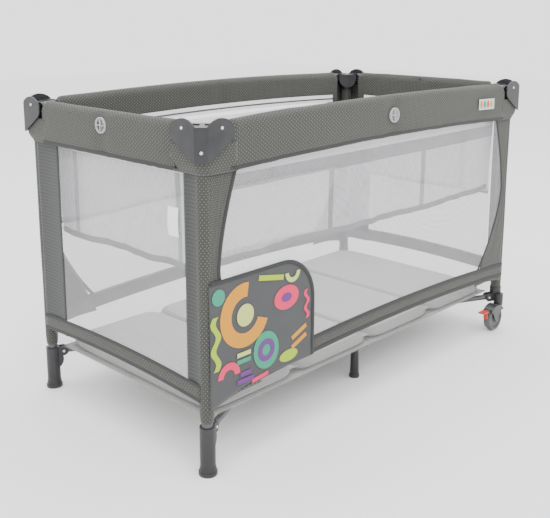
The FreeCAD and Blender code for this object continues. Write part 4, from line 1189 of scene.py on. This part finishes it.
def rivets(name, spots, body, radius=0.0036, rise=0.0018):
    """One mesh of rivet heads; each spot is a place and the way it faces."""
    rows = []
    for place, facing in spots:
        out = Vector(facing).normalized()
        across = out.orthogonal().normalized()
        up = out.cross(across)
        rings = []
        for inward, height in rivet_profile:
            r = radius * (1 - inward)
            rings.append([Vector(place) + (across * math.cos(t) + up * math.sin(t)) * r
                          + out * (height * rise) for t in (2 * math.pi * k / 20 for k in range(20))])
        rows.append(rings)
    heads = loft(name, rows, zinc)
    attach(heads, body)
    return heads


wing_out, ridge_out = 0.034, 0.024
lobe_z, ridge_z, strut_level = 0.748, 0.702, 0.097
flange_half, flange_reach = 0.01035, 0.027
for corner, (sx, sy) in corners.items():
    spots = [((sx * (post_x - 0.022), sy * (post_y + wing_out), lobe_z), (0, sy, 0)),
             ((sx * (post_x + wing_out), sy * (post_y - 0.022), lobe_z), (sx, 0, 0)),
             ((sx * (post_x + ridge_out), sy * (post_y + ridge_out), ridge_z), (sx, sy, 0))]
    low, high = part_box(f"strut_{corner}")
    lean = Vector((sx * (high.x - low.x - 0.010), sy * (high.y - low.y - 0.013), 0)).normalized()
    side_way = Vector((-lean.y, lean.x, 0))
    for way in (-1, 1):
        tip = (Vector((sx * post_x, sy * post_y, strut_level)) - lean * flange_reach
               + side_way * way * flange_half)
        spots.append((tip, side_way * way))
    rivets(f"corner_rivets_{corner}", spots, f"post_{corner}")
for side, sy in (("front", -1), ("rear", 1)):
    low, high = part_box(f"side_hub_{side}")
    outer = low.y if sy < 0 else high.y
    rivets(f"side_hub_rivets_{side}", [((x, outer, strut_level), (0, sy, 0)) for x in (-0.030, 0.030)],
           f"side_hub_{side}", 0.0046, 0.002)
for corner in ("fr", "rr"):
    low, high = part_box(f"caster_wheel_{corner}")
    middle = (low + high) / 2
    half = (high.y - low.y) / 2
    rivets(f"axle_caps_{corner}", [((middle.x, middle.y - half, middle.z), (0, -1, 0)),
                                   ((middle.x, middle.y + half, middle.z), (0, 1, 0))],
           f"wheel_{corner}", 0.0060, 0.0014)


# Care label: a blank white satin tag folded into the seam of the left wall's near web.
def label_point(u, v):
    bow = 0.0022 * math.sin(math.pi * v) + ripple(u, v, 0.0008, 8.8)
    return (-(short_wall_x + 0.0022 + bow), -0.246 + u * 0.034, 0.515 + v * 0.063)


label = sheet_grid("blank_care_label", 10, 18, label_point, lambda u, v: (u * 0.034, v * 0.063),
                   white_satin)
thicken(label, 0.0005)
fold_with(label, "fl", *wall_fold("fl", True))


# Studio: a pale floor, two soft boxes and a pale sky, with the camera at three-quarter height.
def studio():
    floor = bpy.data.meshes.new("studio_floor")
    floor.from_pydata([(-9, -9, 0), (9, -9, 0), (9, 9, 0), (-9, 9, 0)], [], [(0, 1, 2, 3)])
    plane = bpy.data.objects.new("studio_floor", floor)
    bpy.context.scene.collection.objects.link(plane)
    paper = bpy.data.materials.new("white_paper")
    paper.use_nodes = True
    paper.node_tree.nodes["Principled BSDF"].inputs["Base Color"].default_value = (0.93, 0.93, 0.93, 1)
    paper.node_tree.nodes["Principled BSDF"].inputs["Roughness"].default_value = 0.9
    floor.materials.append(paper)
    sky = bpy.data.worlds.new("studio_sky")
    sky.use_nodes = True
    sky.node_tree.nodes["Background"].inputs["Color"].default_value = (1, 1, 1, 1)
    sky.node_tree.nodes["Background"].inputs["Strength"].default_value = 2.1
    bpy.context.scene.world = sky
    for name, place, power, size in (("key_box", (-1.8, -2.6, 3.2), 60, 2.4),
                                     ("top_box", (0.4, 0.3, 3.4), 50, 2.6)):
        lamp = bpy.data.lights.new(name, "AREA")
        lamp.energy, lamp.size = power, size
        made = bpy.data.objects.new(name, lamp)
        made.location = place
        made.rotation_euler = (Vector((0, 0, 0.3)) - Vector(place)).to_track_quat("-Z", "Y").to_euler()
        bpy.context.scene.collection.objects.link(made)


def camera():
    lens = bpy.data.cameras.new("camera")
    lens.sensor_width, lens.lens = 36.0, 54.8
    lens.shift_x, lens.shift_y = 0.002, -0.142
    made = bpy.data.objects.new("camera", lens)
    azimuth, elevation = math.radians(-45.8), math.radians(11.8)
    look = Vector((-math.sin(azimuth) * math.cos(elevation), math.cos(azimuth) * math.cos(elevation),
                   -math.sin(elevation)))
    made.location = (-1.6644, -1.5415, 0.9808)
    made.rotation_euler = look.to_track_quat("-Z", "Y").to_euler()
    bpy.context.scene.collection.objects.link(made)
    bpy.context.scene.camera = made


studio()
camera()
